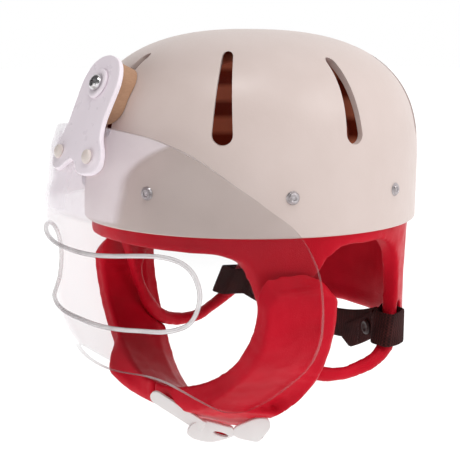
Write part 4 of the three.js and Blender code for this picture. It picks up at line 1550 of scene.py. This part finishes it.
@dataclass
class ChinFastener:
    """Pale plastic tongue, buckle and tab under the chin."""

    buckle: Triple = (38, -57, -132.5)
    tongue_end: Triple = (8, -82, -111.5)
    tab_end: Triple = (60, -24, -131.5)
    face: Triple = (0.6, -0.75, -0.2)
    # Half width, shift across, start and how far the tip's centre stands back.
    tongue_size: Four = (4.5, -1.0, 5, 3.5)
    buckle_ring: tuple[Pair, ...] = (
        (-16, -1.4), (-13.4, 4.5), (-7.6, 7.6), (0, 6.3), (7.8, 3.6), (13.4, 1.6), (13.8, -4.2), (11, -5.8),
        (5.2, -7.9), (-0.7, -8.9), (-7.8, -7.6), (-12.9, -5.2),
    )
    slot_middle: Pair = (5.6, -2.6)
    slot_size: Triple = (4.8, -1.6, 1.5)
    half_width: float = 9
    # Thickness, how far the back face stands out and how far the edges curl back.
    tongue_sheet: Triple = (2.0, 3.2, 0.0)
    buckle_sheet: Triple = (3.2, -1.2, 1.0)
    tab_sheet: Triple = (2.2, 0.0, 0.8)
    web_sheet: Triple = (0.8, -2.1, 0.0)
    # Depth behind and before the back face that is cleared of foam.
    tongue_room: Pair = (-0.4, 12)
    buckle_room: Pair = (-1.9, 14)
    tab_room: Pair = (-1.5, 12)
    web_grow: float = 1.25
    web_shift: Pair = (1.4, -0.65)
    finish: MouldedPlastic = MouldedPlastic("fastener_plastic", srgb(234, 230, 229), srgb(216, 211, 210), 0.4, 0.05)
    web: CoatedFoam = CoatedFoam()

    def axes(self, end: Sequence[float]) -> tuple[Points, Points, Points, Points, float]:
        """Frame of a strip from the buckle to an end.

        Args:
            end: place of the strip's far end.

        Returns:
            Origin, direction along, direction across, direction out of its face, and length.
        """
        origin = np.array(self.buckle, float)
        run = np.array(end, float) - origin
        along = unit(run)
        across = unit(np.cross(self.face, along))
        return origin, along, across, np.cross(along, across), float(np.linalg.norm(run))

    def strip(
        self, name: str, end: Sequence[float], outline: Points, holes: Sequence[Points], sheet: Sequence[float]
    ) -> Piece:
        """Flat strip with rounded edges.

        Args:
            name: piece name.
            end: far end that the strip points to.
            outline: rows of along and across.
            holes: slots through it.
            sheet: thickness, how far its back face stands out and how far its edges curl back.

        Returns:
            The object.
        """
        origin, along, across, out, _ = self.axes(end)
        thick, lift, bow = sheet

        def lay(flat: Points, height: float) -> Points:
            """Places of flat rows at a height over the strip's back face."""
            curl = height - bow * (flat[:, 1:] / self.half_width) ** 2
            return origin + flat[:, :1] * along + flat[:, 1:] * across + curl * out

        made = plate(
            name, even(outline, 0.9), [even(hole, 0.7) for hole in holes], 1.2,
            lambda flat: lay(flat, lift + thick), lambda flat: lay(flat, lift),
        )
        return round_edges(made, min(0.7, thick * 0.3), 3, 50)

    def tongue_outline(self, grow: float = 0.0) -> Points:
        """Outline of the tongue.

        Args:
            grow: how much larger it is on every side.

        Returns:
            Rows of along and across.
        """
        half, aside, start, tip_back = self.tongue_size
        half, start = half + grow, start - grow
        turn = np.linspace(-math.pi / 2, math.pi / 2, 16)
        centre = self.axes(self.tongue_end)[4] - tip_back
        tip = np.stack([centre + half * np.cos(turn), aside + half * np.sin(turn)], -1)
        return np.vstack([[(start, aside - half)], tip, [(start, aside + half)]])

    def buckle_outline(self, grow: float = 0.0) -> Points:
        """Outline of the buckle, larger by about the growth on every side."""
        return smooth_curve(self.buckle_ring, True, 5) * (1 + grow / self.half_width)

    def tab_outline(self, grow: float = 0.0) -> Points:
        """Outline of the tab, which widens towards its end.

        Args:
            grow: how much larger it is on every side.

        Returns:
            Rows of along and across.
        """
        length = self.axes(self.tab_end)[4]
        ring = [
            (14.2 - grow, -4 - grow), (14.2 - grow, 1.6 + grow), (22, 5.8 + grow), (length - 10, 8.4 + grow),
            (length - 4, 7.8 + grow), (length - 2 + grow, 2.4), (length - 5 + grow, -3.4), (length - 9.6, -9.2 - grow),
            (length - 14.6, -8.6 - grow),
        ]
        return smooth_curve(ring, True, 6)

    def cutters(self) -> list[Piece]:
        """Cutters that clear the foam behind the strips."""
        made = []
        for end, outline, (low, high) in (
            (self.tongue_end, self.tongue_outline(GAP), self.tongue_room),
            (self.tab_end, self.buckle_outline(GAP), self.buckle_room),
            (self.tab_end, self.tab_outline(GAP), self.tab_room),
        ):
            origin, along, across, out, _ = self.axes(end)
            made.append(prism(outline, origin + low * out, (along, across, out), high - low))
        return made

    def slot(self) -> Points:
        """Outline of the buckle's slot."""
        turn = np.linspace(0, 2 * math.pi, 20, endpoint=False)
        length, slant, width = self.slot_size
        flat = np.stack([length * np.cos(turn), slant * np.cos(turn) + width * np.sin(turn)], -1)
        return self.slot_middle + flat

    def dress(self) -> None:
        """Builds and hands over the three pieces and the scrap of red web behind the slot."""
        look, slot = self.finish.material(), self.slot()
        for label, end, outline, holes, sheet in (
            ("tongue", self.tongue_end, self.tongue_outline(), [], self.tongue_sheet),
            ("buckle", self.tab_end, self.buckle_outline(), [slot], self.buckle_sheet),
            ("tab", self.tab_end, self.tab_outline(), [], self.tab_sheet),
        ):
            made = self.strip(f"chin_fastener_{label}", end, outline, holes, sheet)
            finish_piece(made, look, [f"chin_{label}"])
        outline = slot * self.web_grow - self.web_shift
        web = self.strip("chin_fastener_web", self.tab_end, outline, [], self.web_sheet)
        finish_piece(web, self.web.material(), [])


@dataclass
class JawPads:
    """Two thick foam blocks that run from the ears to the chin."""

    guard: FaceGuard
    fastener: ChinFastener
    top: float = -22
    top_fall: float = 10
    top_round: float = 8
    spring: float = -35
    thick: float = 15.5
    edge: float = 4
    front_edge: float = 0.05
    rear_edge: float = 0.09
    rear_slope: float = 0.24
    # Half width, drop and place along the head at the ear and at the chin, for both edges.
    front: Four = (91, 71, -64, -78)
    rear: Four = (96, 91, -14, -32)
    square: Pair = (2, 2.15)
    # Degrees towards the chin and how far the lip stands out.
    lip: tuple[Pair, ...] = ((48, 0), (57, 13), (62, 13), (77, 5), (87, 0))
    left_lip: float = 0.25
    chin_gap: float = 1.2
    top_inset: float = 0.12
    top_thin: float = 4.8
    cap_from: float = 0.6
    round_z: Pair = (-54, -30)
    # Depth, length and seed of each set of dents.
    dents: tuple[tuple[float, float, int], ...] = ((0.3, 42, 5), (0.1, 13, 6))
    fold_bend: Pair = (0.45, 0.4)
    # Folds per radian, how far they stray, and the length and seed of the straying.
    fold_waves: tuple[float, float, float, int] = (46, 2.2, 34, 9)
    fold_depth: float = 0.16
    most_out: float = 0.25
    sink: float = 0.1
    steps: int = 84
    voxel: float = 1.15
    passes: int = 70
    fill: float = 0.9
    finish: CoatedFoam = CoatedFoam()

    def section(self, share: float, side: int) -> Points:
        """Section of the pad from the ear at 0 to the chin at 1, its rounded top below 0.

        Args:
            share: place along the pad.
            side: 1 on the wearer's left, -1 on the right.

        Returns:
            The section's points.
        """
        turn = math.pi / 2 * max(share, 0)
        chin = math.sin(turn) ** 4
        cap = np.clip((-share - self.cap_from) / (1 - self.cap_from), 0, 1) ** 2
        inset, full = self.top_inset * cap, self.thick - self.top_thin * cap
        corners = np.array([
            (inset, self.edge / 2), (inset, full - self.edge), (inset + self.front_edge, full),
            (1 - inset - self.rear_edge, full), (1 - inset, full - self.edge), (1 - inset, self.edge),
            (1 - inset - self.rear_slope, 0), (inset + self.front_edge / 2, 0),
        ])
        ring = np.vstack([np.linspace(a, b, 7)[:-1] for a, b in zip(corners, np.roll(corners, -1, axis=0))])
        u, out = ring[:, 0], ring[:, 1]
        half, drop = (a + (b - a) * u for a, b in zip(self.front[:2], self.rear[:2]))
        ahead = self.front[2] + (self.front[3] - self.front[2]) * chin
        behind = self.rear[2] + (self.rear[3] - self.rear[2]) * chin
        normal = unit_rows(np.stack([math.cos(turn) / half, math.sin(turn) / drop], -1))
        rise = max(-share, 0) * (self.top - self.top_fall * out / self.thick - self.spring)
        power = 2 / (self.square[0] + (self.square[1] - self.square[0]) * u)
        x = half * math.cos(turn) ** power + out * normal[:, 0]
        z = self.spring + rise - drop * math.sin(turn) ** power - out * normal[:, 1]
        low, high = self.round_z
        z -= self.top_round * (2 * u - 1) ** 4 * np.clip((z - low) / (high - low), 0, 1)
        swell = float(lerp_table(self.lip, math.degrees(turn))) * (self.left_lip if side > 0 else 1)
        y = ahead + (behind - ahead) * u - swell * (1 - u) ** 2 * (out / self.thick)
        return np.stack([side * x, y, z], -1)

    def build(self, side: Side, liner: Piece) -> Piece:
        """One pad, pressed into the guard and seated on the lining.

        Args:
            side: which side the pad is on.
            liner: finished lining.

        Returns:
            The pad.
        """
        chin = 1 - 2 / math.pi * math.asin(self.chin_gap / self.front[0])
        shares = np.concatenate([np.linspace(-1, 0, 10)[:-1], np.linspace(0, chin, self.steps)])
        rows = [self.section(share, side.value) for share in shares]
        points = self.guard.press_inside(np.vstack(rows), GAP)
        made = outward(new_object(f"{side.label}_jaw_foam", points, band(len(rows), len(rows[0]))))
        seat = link("cutter", liner.data.copy())
        cut(made, puff(seat, GAP), *self.fastener.cutters())
        soften(made, self.voxel, self.passes)
        return self.crease(made)

    def crease(self, made: Piece) -> Piece:
        """Dents and crushes the foam a little, with short folds across the bend.

        Args:
            made: softened pad.

        Returns:
            The same object.
        """
        points = points_of(made)
        along = np.arctan2(-(points[:, 2] - self.spring), np.abs(points[:, 0]) + 1e-6)
        bend = np.exp(-((along - self.fold_bend[0]) / self.fold_bend[1]) ** 2)
        count, stray, length, seed = self.fold_waves
        folds = np.sin(along * count + stray * wavy(points, length, seed)) * bend
        dents = sum(depth * wavy(points, length, seed) for depth, length, seed in self.dents)
        return puff(made, np.minimum(dents + self.fold_depth * folds, self.most_out) - self.sink)

    def dress(self, liner: Piece) -> None:
        """Builds and hands over both pads.

        Args:
            liner: finished lining, which the pads are seated on.
        """
        look = self.finish.material()
        for side in Side:
            made = self.build(side, liner)
            finish_piece(made, look, [f"{side.label}_jaw_pad"])


@dataclass
class GuardBracket:
    """Milky plate that carries the guard, with its spacer, washer, screw and foot rivets."""

    dome: Dome
    thick: float = 3.5
    # Place along the head and height of the plate's ends.
    top: Pair = (-110.3, 105.4)
    foot: Pair = (-138.5, 41.6)
    bend: Triple = (4.2, 30, 0.45)
    outline_rows: tuple[Pair, ...] = (
        (105.4, 3), (104, 9), (101, 14.5), (96, 18.5), (89, 20.8), (76, 20.5), (64, 20.5), (57, 23), (51, 27),
        (46, 28.5), (41, 28.5), (37.5, 25.5), (36, 20),
    )
    notch: tuple[Pair, ...] = ((35.8, 15), (37.5, 10), (41, 5), (43, 0.8))
    screw_height: float = 88
    screw_head: Pair = (5.2, 3.4)
    screw_lift: float = 1.9
    shank: Pair = (2.1, 14)
    recess: Triple = (3.1, 0.65, 1.9)
    washer_radius: float = 9.5
    washer_lift: float = 0.25
    rivet_place: Pair = (17.5, 46)
    rivet_head: Triple = (4.4, 1.4, 2.0)
    rivet_shank: Pair = (2.0, 9.5)
    rivet_axis: Triple = (0, -0.96, 0.2)
    # Half width, top, bottom, and the roundings at top and bottom.
    spacer: tuple[float, float, float, float, float] = (15.5, 104, 69, 14, 13)
    spacer_reach: float = 40
    spacing: float = 2.0
    edge_round: float = 0.9
    milky: MouldedPlastic = MouldedPlastic("milky_plastic", srgb(244, 233, 240), srgb(236, 224, 233), 0.3, 0.0)
    cream: MouldedPlastic = MouldedPlastic("cream_rivet", srgb(226, 214, 208), srgb(196, 178, 168), 0.34, 0.1)
    felt: FleckedCoat = FleckedCoat(
        "tan_spacer", srgb(180, 140, 112), srgb(168, 128, 100), 0.85, 420, 5, (0.3, 0), (0.72, 1), (1, 1, 3), 0.0001
    )
    chrome: BareMetal = BareMetal("bright_screw", srgb(214, 212, 214), srgb(120, 112, 108), 0.12)

    @property
    def normal(self) -> Points:
        """Direction out of the plate's face."""
        return unit([0, self.foot[1] - self.top[1], self.top[0] - self.foot[0]])

    @property
    def upward(self) -> Points:
        """Direction up the plate."""
        return np.cross(self.normal, (1, 0, 0))

    def on_plate(self, flat: Points, offset: float) -> Points:
        """Places on the plate for rows of width and height.

        Args:
            flat: rows of x and z.
            offset: distance outside the outer face.

        Returns:
            The places.
        """
        x, z = flat[:, 0], flat[:, 1]
        lean = (z - self.foot[1]) / (self.top[1] - self.foot[1])
        depth, at_x, up_to = self.bend
        curl = depth * (x / at_x) ** 2 * np.clip(1 - lean / up_to, 0, 1)
        y = self.foot[0] + (self.top[0] - self.foot[0]) * lean + curl
        return np.stack([x, y, z], -1) + offset * self.normal

    def centre(self, z: float, offset: float) -> Points:
        """Place on the plate's middle line."""
        return self.on_plate(np.array([[0.0, z]]), offset)[0]

    def plate_outline(self) -> Points:
        """Border of the plate with its rounded feet and notch."""
        right = [(w, z) for z, w in self.outline_rows] + [(w, z) for z, w in self.notch]
        left = [(-w, z) for w, z in reversed(right)]
        return even(smooth_curve(right + left, True, 6), 1.4)

    def block(self) -> Piece:
        """Spacer between the plate and the shell, cut to the shell's curve."""
        half, top, low, head, foot = self.spacer
        height = [float((self.centre(z, 0) - self.centre(self.screw_height, 0)) @ self.upward) for z in (top, low)]
        outline = capsule((half, height[1], foot), (half, height[0], head), (25, 25))
        origin = self.centre(self.screw_height, -self.thick - GAP - self.spacer_reach)
        made = prism(outline, origin, ((1, 0, 0), self.upward, self.normal), self.spacer_reach)
        made.name = "bracket_block"
        wall = self.dome.crown(-GAP, 60)
        points, faces = revolve(np.vstack([wall, [(wall[-1, 0], 0), (0, 0)]]), 160, self.dome.oval)
        cut(made, outward(new_object("cutter", points, faces)))
        return round_edges(made, 0.8, 3, 50)

    def washer(self) -> Piece:
        """Dished washer under the screw's head."""
        radius = self.washer_radius
        profile = [
            (0, -0.1), (radius - 0.5, -0.1), (radius, 0.3), (radius, 1.0), (radius - 0.6, 1.6), (radius - 1.6, 1.75),
            (6.2, 1.45), (5.6, 1.1), (0, 1.1),
        ]
        seat = self.centre(self.screw_height, self.washer_lift)
        return turned_at("bracket_dish", profile, 56, seat, self.normal)

    def screw(self) -> Piece:
        """Pan head screw with a cross recess."""
        head, rise = self.screw_head
        radius, length = self.shank
        turn = np.linspace(0, math.pi / 2, 10)
        cap = [(head * math.sin(t) ** 0.8, rise * math.cos(t) ** 0.8) for t in turn]
        profile = [*cap, (head, -0.2), (radius, -0.2), (radius, -length), (0, -length)]
        seat = self.centre(self.screw_height, self.screw_lift)
        made = turned_at("bracket_pan_screw", profile, 48, seat, self.normal)
        half, wide, deep = self.recess
        slot = np.array([(-half, -wide), (half, -wide), (half, wide), (-half, wide)])
        for axis in (np.array([1.0, 0, 0]), self.upward):
            across = np.cross(self.normal, axis)
            cut(made, prism(slot, seat + (rise - deep) * self.normal, (axis, across, self.normal), 2 * rise))
        return round_edges(made, 0.2, 2, 40)

    def foot_rivet(self, side: Side) -> Piece:
        """Domed rivet in one foot of the plate.

        Args:
            side: which foot.

        Returns:
            The rivet.
        """
        x, z = self.rivet_place
        head, rim, rise = self.rivet_head
        radius, length = self.rivet_shank
        seat = self.on_plate(np.array([[side.value * x, z]]), 0)[0]
        cap = [(head * math.sin(t), rim + rise * math.cos(t)) for t in np.linspace(0, math.pi / 2, 9)]
        under = [(head, 0.4), (head - 0.4, 0.1), (radius, 0.1), (radius, -length), (0, -length)]
        return turned_at(f"foot_rivet_{side.label}", [*cap, *under], 40, seat, unit(self.rivet_axis))

    def dress(self) -> None:
        """Builds and hands over the plate and its fittings."""
        made = plate(
            "bracket_plate", self.plate_outline(), [], self.spacing,
            lambda flat: self.on_plate(flat, 0), lambda flat: self.on_plate(flat, -self.thick),
        )
        milky, cream = self.milky.material(), self.cream.material()
        finish_piece(round_edges(made, self.edge_round, 4, 50), milky, ["guard_bracket"])
        finish_piece(self.block(), self.felt.material(), ["bracket_spacer"])
        finish_piece(self.washer(), milky, ["bracket_washer"])
        finish_piece(self.screw(), self.chrome.material(), ["bracket_screw"])
        for side in Side:
            finish_piece(self.foot_rivet(side), cream, [f"bracket_rivet_{side.label}"])


@dataclass
class NapeStrap:
    """Woven strap behind the neck, looped round both ear rings, with its snaps and stitches."""

    liner: Liner
    width: float = 20
    thick: float = 2.0
    height: float = -68
    sag: float = 14
    end: Pair = (73.2, 51)
    bow: float = 12
    # Front, rear and tilt of the loop, and its room outside and inside the ring.
    loop: tuple[float, float, float, float, float] = (41.2, 59.6, 0.35, 2.6, 1.9)
    # Reach, width, drop and lift of the loose end.
    tail: Four = (43, 17, 9, 2.2)
    # Distance from the middle, radius and rise.
    snap: Triple = (63, 5.2, 2.2)
    snap_lift: float = 0.15
    # Share of the half width and of the half thickness along one face.
    section: tuple[Pair, ...] = (
        (-1, 0.35), (-0.96, 0.8), (-0.85, 1), (-0.5, 1), (0, 1), (0.5, 1), (0.85, 1), (0.96, 0.8), (1, 0.35),
    )
    band_steps: int = 60
    tail_steps: int = 24
    stitch_x: Pair = (51.5, 70)
    stitch_rows: Triple = (-7.2, 7.3, 2.9)
    stitch_lift: float = 0.1
    stitch_sizes: dict[str, float] = field(default_factory=lambda: {"Stitch length": 0.0022, "Thread width": 0.0006})
    finish: Webbing = Webbing()
    thread: FleckedCoat = FleckedCoat(
        "thread", srgb(92, 60, 58), srgb(50, 30, 30), 0.7, 2500, 1, (0.3, 0), (0.7, 0.6), relief=0.0001
    )
    enamel: FleckedCoat = FleckedCoat(
        "snap_metal", srgb(44, 26, 26), srgb(104, 84, 82), 0.4, 900, 4, (0.55, 0), (0.75, 0.8), metallic=0.3
    )

    def ribbon(
        self, name: str, middle: Points, wide: Points, out: Points, widths: Points, closed: bool
    ) -> Piece:
        """Flat tape along a line, with rounded long edges and a map in millimetres.

        Args:
            name: piece name.
            middle: the line's points.
            wide: direction across the tape at each point.
            out: direction out of its face at each point.
            widths: width at each point.
            closed: whether the line is a ring.

        Returns:
            The object.
        """
        face = [(across, self.thick / 2 * lift) for across, lift in self.section]
        ring = face + [(across, -lift) for across, lift in reversed(face)]
        points = np.stack([middle + (widths / 2 * s)[:, None] * wide + h * out for s, h in ring], 1)
        steps, count = points.shape[:2]
        faces = band(steps, count, closed)
        made = new_object(name, points.reshape(-1, 3), faces)
        run = np.concatenate([[0], np.cumsum(np.linalg.norm(np.diff(middle, axis=0), axis=1))])
        layer = made.data.uv_layers.new(name="tape")
        for polygon in made.data.polygons:
            corners = {k: divmod(made.data.loops[k].vertex_index, count) for k in polygon.loop_indices}
            wraps = closed and {r for r, _ in corners.values()} == {0, steps - 1}
            for k, (r, i) in corners.items():
                length = run[-1] + self.thick if wraps and r == 0 else run[r]
                layer.data[k].uv = (length, ring[i][0] * self.width / 2)
        outward(made)
        made.data.set_sharp_from_angle(angle=math.radians(60))
        return made

    def band_line(self, start: float, stop: float, lift: float, drop: float, steps: int) -> Points:
        """Line of the band behind the neck between two widths.

        Args:
            start: x of the line's start.
            stop: x of its end.
            lift: how far it lies in front of the band.
            drop: how far its end hangs below the band.
            steps: number of points.

        Returns:
            The line's points.
        """
        x = np.linspace(start, stop, steps)
        middle = 1 - (x / self.end[0]) ** 2
        fall = drop * np.linspace(0, 1, steps)
        y = self.end[1] + self.bow * middle - lift + self.thick / 2
        return np.stack([x, y, self.height - self.sag * middle - fall], -1)

    def strip(self, name: str, line: Points, widths: Points) -> Piece:
        """Tape along a line that hangs on edge.

        Args:
            name: piece name.
            line: the tape's middle line.
            widths: width at each point.

        Returns:
            The object.
        """
        along = unit_rows(np.gradient(line, axis=0))
        out = unit_rows(np.cross(along, (0, 0, 1)))
        return self.ribbon(name, line, np.cross(out, along), out, widths, False)

    def ring_line(self, side: Side, z: float) -> Points:
        """Closed line round the ear ring's rear limb at a height.

        Args:
            side: which ear.
            z: height.

        Returns:
            The line's points.
        """
        front, rear, tilt, outside, within = self.loop
        shift, gap = tilt * (z - self.height), self.thick / 2 + 0.2
        front, rear = front + shift - gap, rear + shift + gap
        half, wall = float(self.liner.half_at(z)), float(self.liner.wall_at(z))
        outer, inner = half + outside + gap, half - wall - within - gap
        middle = (front + rear) / 2
        corners = [(inner, middle), (inner, front), (outer, front), (outer, middle), (outer, rear), (inner, rear)]
        ring = np.array([
            (self.liner.dome.oval * math.sqrt(r * r - y * y) * float(self.liner.width_factor(np.array(y), z)), y)
            for r, y in corners
        ])
        for _ in range(3):
            after = np.roll(ring, -1, axis=0)
            ring = np.stack([0.84 * ring + 0.16 * after, 0.16 * ring + 0.84 * after], 1).reshape(-1, 2)
        return np.column_stack([side.value * ring[:, 0], ring[:, 1], np.full(len(ring), z)])

    def ring_piece(self, side: Side) -> Piece:
        """Loop of tape round one ear ring.

        Args:
            side: which ear.

        Returns:
            The loop.
        """
        low, high = (self.ring_line(side, self.height + dz * self.width / 2) for dz in (-1, 1))
        middle, across = (low + high) / 2, high - low
        widths = np.linalg.norm(across, axis=1)
        wide = across / widths[:, None]
        along = np.roll(middle, -1, axis=0) - np.roll(middle, 1, axis=0)
        out = unit_rows(np.cross(along, wide))
        return self.ribbon(f"strap_loop_{side.label}", middle, wide, out, widths, True)

    def tail_offset(self, side: Side, x: float) -> Pair:
        """How far the tail stands out and hangs down over the band.

        Args:
            side: the tail lies on the left only.
            x: distance from the middle.

        Returns:
            Lift and drop, both zero on the right.
        """
        reach, _, drop, lift = self.tail
        return (lift, drop * (self.end[0] - x) / reach) if side is Side.LEFT else (0.0, 0.0)

    def snap_seat(self, side: Side) -> tuple[Points, Points]:
        """Place and normal of a snap on the strap's front.

        Args:
            side: which loop.

        Returns:
            Place and normal.
        """
        x = self.snap[0]
        middle = 1 - (x / self.end[0]) ** 2
        normal = unit([-2 * self.bow * side.value * x / self.end[0] ** 2, -1, 0])
        lift, drop = self.tail_offset(side, x)
        y, z = self.end[1] + self.bow * middle - lift, self.height - self.sag * middle - drop
        return np.array([side.value * x, y, z]) + self.snap_lift * normal, normal

    def snap_piece(self, side: Side) -> Piece:
        """Snap cap with a raised ring and a dished middle.

        Args:
            side: which loop.

        Returns:
            The snap.
        """
        shares = (
            (0, 0.5), (0.35, 0.52), (0.5, 0.75), (0.66, 1), (0.82, 0.92), (0.97, 0.5), (1, 0.2), (0.97, 0), (0, 0),
        )
        profile = np.array(shares) * self.snap[1:]
        seat, normal = self.snap_seat(side)
        return turned_at(f"strap_snap_{side.label}", profile, 40, seat, normal)

    def stitches(self) -> Piece:
        """Rows of stitches where the tape is sewn, repeated by geometry nodes."""
        nodes = ShapeNodes("strap_stitches", self.stitch_sizes)
        length, thread = nodes.times("Stitch length", 0.5), nodes.times("Thread width", 0.5)
        bead = nodes.node("GeometryNodeMeshUVSphere", Segments=8, Rings=6, Radius=1.0).outputs["Mesh"]
        scale = nodes.node("ShaderNodeCombineXYZ", X=length, Y=thread, Z=thread).outputs[0]
        nodes.spread(nodes.node("GeometryNodeTransform", Geometry=bead, Scale=scale).outputs[0])
        seats, axes, along = [], [], []
        for side in Side:
            normal = self.snap_seat(side)[1]
            for x in self.stitch_x:
                lift, drop = self.tail_offset(side, x)
                line = self.band_line(side.value * x, side.value * x, lift, 0, 1)[0]
                for dz in np.arange(*self.stitch_rows):
                    seats.append(line + (0, 0, dz - drop) + (self.thick / 2 + self.stitch_lift) * normal)
                    axes.append(normal)
                    along.append((0, 0, 1))
        return nodes.make("strap_stitches", np.array(seats), np.array(axes), np.array(along), self.thread.material())

    def dress(self) -> None:
        """Builds and hands over the strap, its loops, tail, snaps and stitches."""
        look = self.finish.material()
        reach, tail_width, drop, lift = self.tail
        line = self.band_line(-self.end[0], self.end[0], 0, 0, self.band_steps)
        widths = np.full(self.band_steps, self.width)
        finish_piece(self.strip("nape_band", line, widths), look, ["nape_strap"])
        tail = self.band_line(self.end[0], self.end[0] - reach, lift, drop, self.tail_steps)
        widths = tail_width * np.clip(np.linspace(6, 0.15, self.tail_steps), 0, 1)
        finish_piece(self.strip("strap_tail", tail, widths), look, [])
        enamel = self.enamel.material()
        for side in Side:
            finish_piece(self.ring_piece(side), look, [])
            finish_piece(self.snap_piece(side), enamel, [f"nape_snap_{side.label}"])
        finish_piece(self.stitches(), None, [])


@dataclass
class Studio:
    """Pale floor, soft light and the photograph's camera."""

    turn: float = 54.08
    lift: float = 9.73
    roll: float = 0.92
    distance: float = 800.0
    shift: Pair = (-14.29, -12.61)
    focal: float = 1177.4
    image: float = 460.0
    sensor: float = 36.0
    floor_gap: float = 0.004
    floor_reach: float = 6.0
    floor_grey: Colour = (0.12, 0.12, 0.12)
    floor_glow: float = 1.05
    aim: Triple = (0, 0, -0.1)
    # Name, place in metres, size in metres and watts.
    lamps: tuple[tuple[str, Triple, float, float], ...] = (
        ("key", (1.2, 0.55, 0.9), 0.8, 5.5), ("crown", (0.5, -0.4, 1.4), 0.6, 8),
        ("front", (0.8, -1.1, -0.05), 0.8, 1.2), ("brow", (-0.3, -1.2, -0.1), 0.8, 2.5),
    )
    bright_side: Triple = (0.05, 1.0, 0.0)
    # Lean to the bright side between which the sky brightens, and its strength there.
    sky_range: Four = (-0.1, 0.3, 0.16, 1.0)

    def camera(self) -> None:
        """Makes the camera at the photograph's place."""
        psi, e, r = (math.radians(v) for v in (self.turn, self.lift, self.roll))
        back = np.array([math.sin(psi) * math.cos(e), -math.cos(psi) * math.cos(e), math.sin(e)])
        right = np.array([math.cos(psi), math.sin(psi), 0])
        up = np.cross(back, right)
        centre = right * self.shift[0] + up * self.shift[1] + back * self.distance
        x = right * math.cos(r) + up * math.sin(r)
        y = -right * math.sin(r) + up * math.cos(r)
        data = bpy.data.cameras.new("photo_camera")
        data.sensor_width = self.sensor
        data.lens = self.sensor * self.focal / self.image
        data.clip_start, data.clip_end = 0.01, 50
        made = link("photo_camera", data)
        matrix = Matrix.Identity(4)
        for k, axis in enumerate((x, y, back)):
            matrix.col[k] = (*axis, 0)
        matrix.col[3] = (*((centre - (0, 0, SEAT_HEIGHT)) / 1000), 1)
        made.matrix_world = matrix
        bpy.context.scene.camera = made

    def lamp(self, name: str, place: Sequence[float], size: float, power: float) -> None:
        """Large soft lamp that looks at the helmet.

        Args:
            name: lamp name.
            place: place in metres.
            size: side of the lamp in metres.
            power: watts.
        """
        data = bpy.data.lights.new(name, "AREA")
        data.size, data.energy = size, power
        made = link(name, data)
        made.location = place
        way = Vector(self.aim) - Vector(place)
        made.rotation_euler = way.to_track_quat("-Z", "Y").to_euler()

    def floor(self) -> None:
        """Pale floor just under the helmet."""
        low = CAD_BOX[0].z - self.floor_gap
        mesh = bpy.data.meshes.new("floor")
        corners = [(x * self.floor_reach, y * self.floor_reach, low) for x, y in ((-1, -1), (1, -1), (1, 1), (-1, 1))]
        mesh.from_pydata(corners, [], [(0, 1, 2, 3)])
        made = link("floor", mesh)
        surface = Surface("pale_floor", 0.9)
        surface.set(Base_Color=self.floor_grey, Emission_Color=(1, 1, 1), Emission_Strength=self.floor_glow)
        mesh.materials.append(surface.material)

    def build(self) -> None:
        """Sets up the camera, floor, lamps and sky."""
        self.camera()
        self.floor()
        self.sky()
        bpy.context.scene.view_settings.view_transform = "Standard"
        for lamp in self.lamps:
            self.lamp(*lamp)

    def sky(self) -> None:
        """White sky behind the helmet that dims before its face."""
        world = bpy.data.worlds.new("studio")
        world.use_nodes = True
        nodes = NodeBuilder(world.node_tree)
        way = nodes.node("ShaderNodeTexCoord").outputs["Generated"]
        lean = nodes.node("ShaderNodeVectorMath")
        lean.operation = "DOT_PRODUCT"
        nodes.feed(lean.inputs[0], way)
        nodes.feed(lean.inputs[1], self.bright_side)
        names = ("From_Min", "From_Max", "To_Min", "To_Max")
        fade = nodes.node("ShaderNodeMapRange", Value=lean.outputs["Value"], **dict(zip(names, self.sky_range)))
        back = world.node_tree.nodes["Background"]
        nodes.feed(back.inputs["Color"], (1, 1, 1, 1))
        nodes.feed(back.inputs["Strength"], fade.outputs["Result"])
        bpy.context.scene.world = world


def main() -> None:
    """Builds the studio and every sub-assembly of the helmet in order."""
    logging.basicConfig(level=logging.INFO, format="%(name)s %(message)s")
    Studio().build()
    dome = Dome()
    vents = Vents(dome)
    Shell(dome, vents).dress()
    lining = Liner(dome, vents)
    foam = lining.dress()
    guard = FaceGuard()
    fastener = ChinFastener()
    JawPads(guard, fastener).dress(foam)
    guard.dress()
    GuardBracket(dome).dress()
    NapeStrap(lining).dress()
    fastener.dress()


if __name__ == "__main__":
    main()
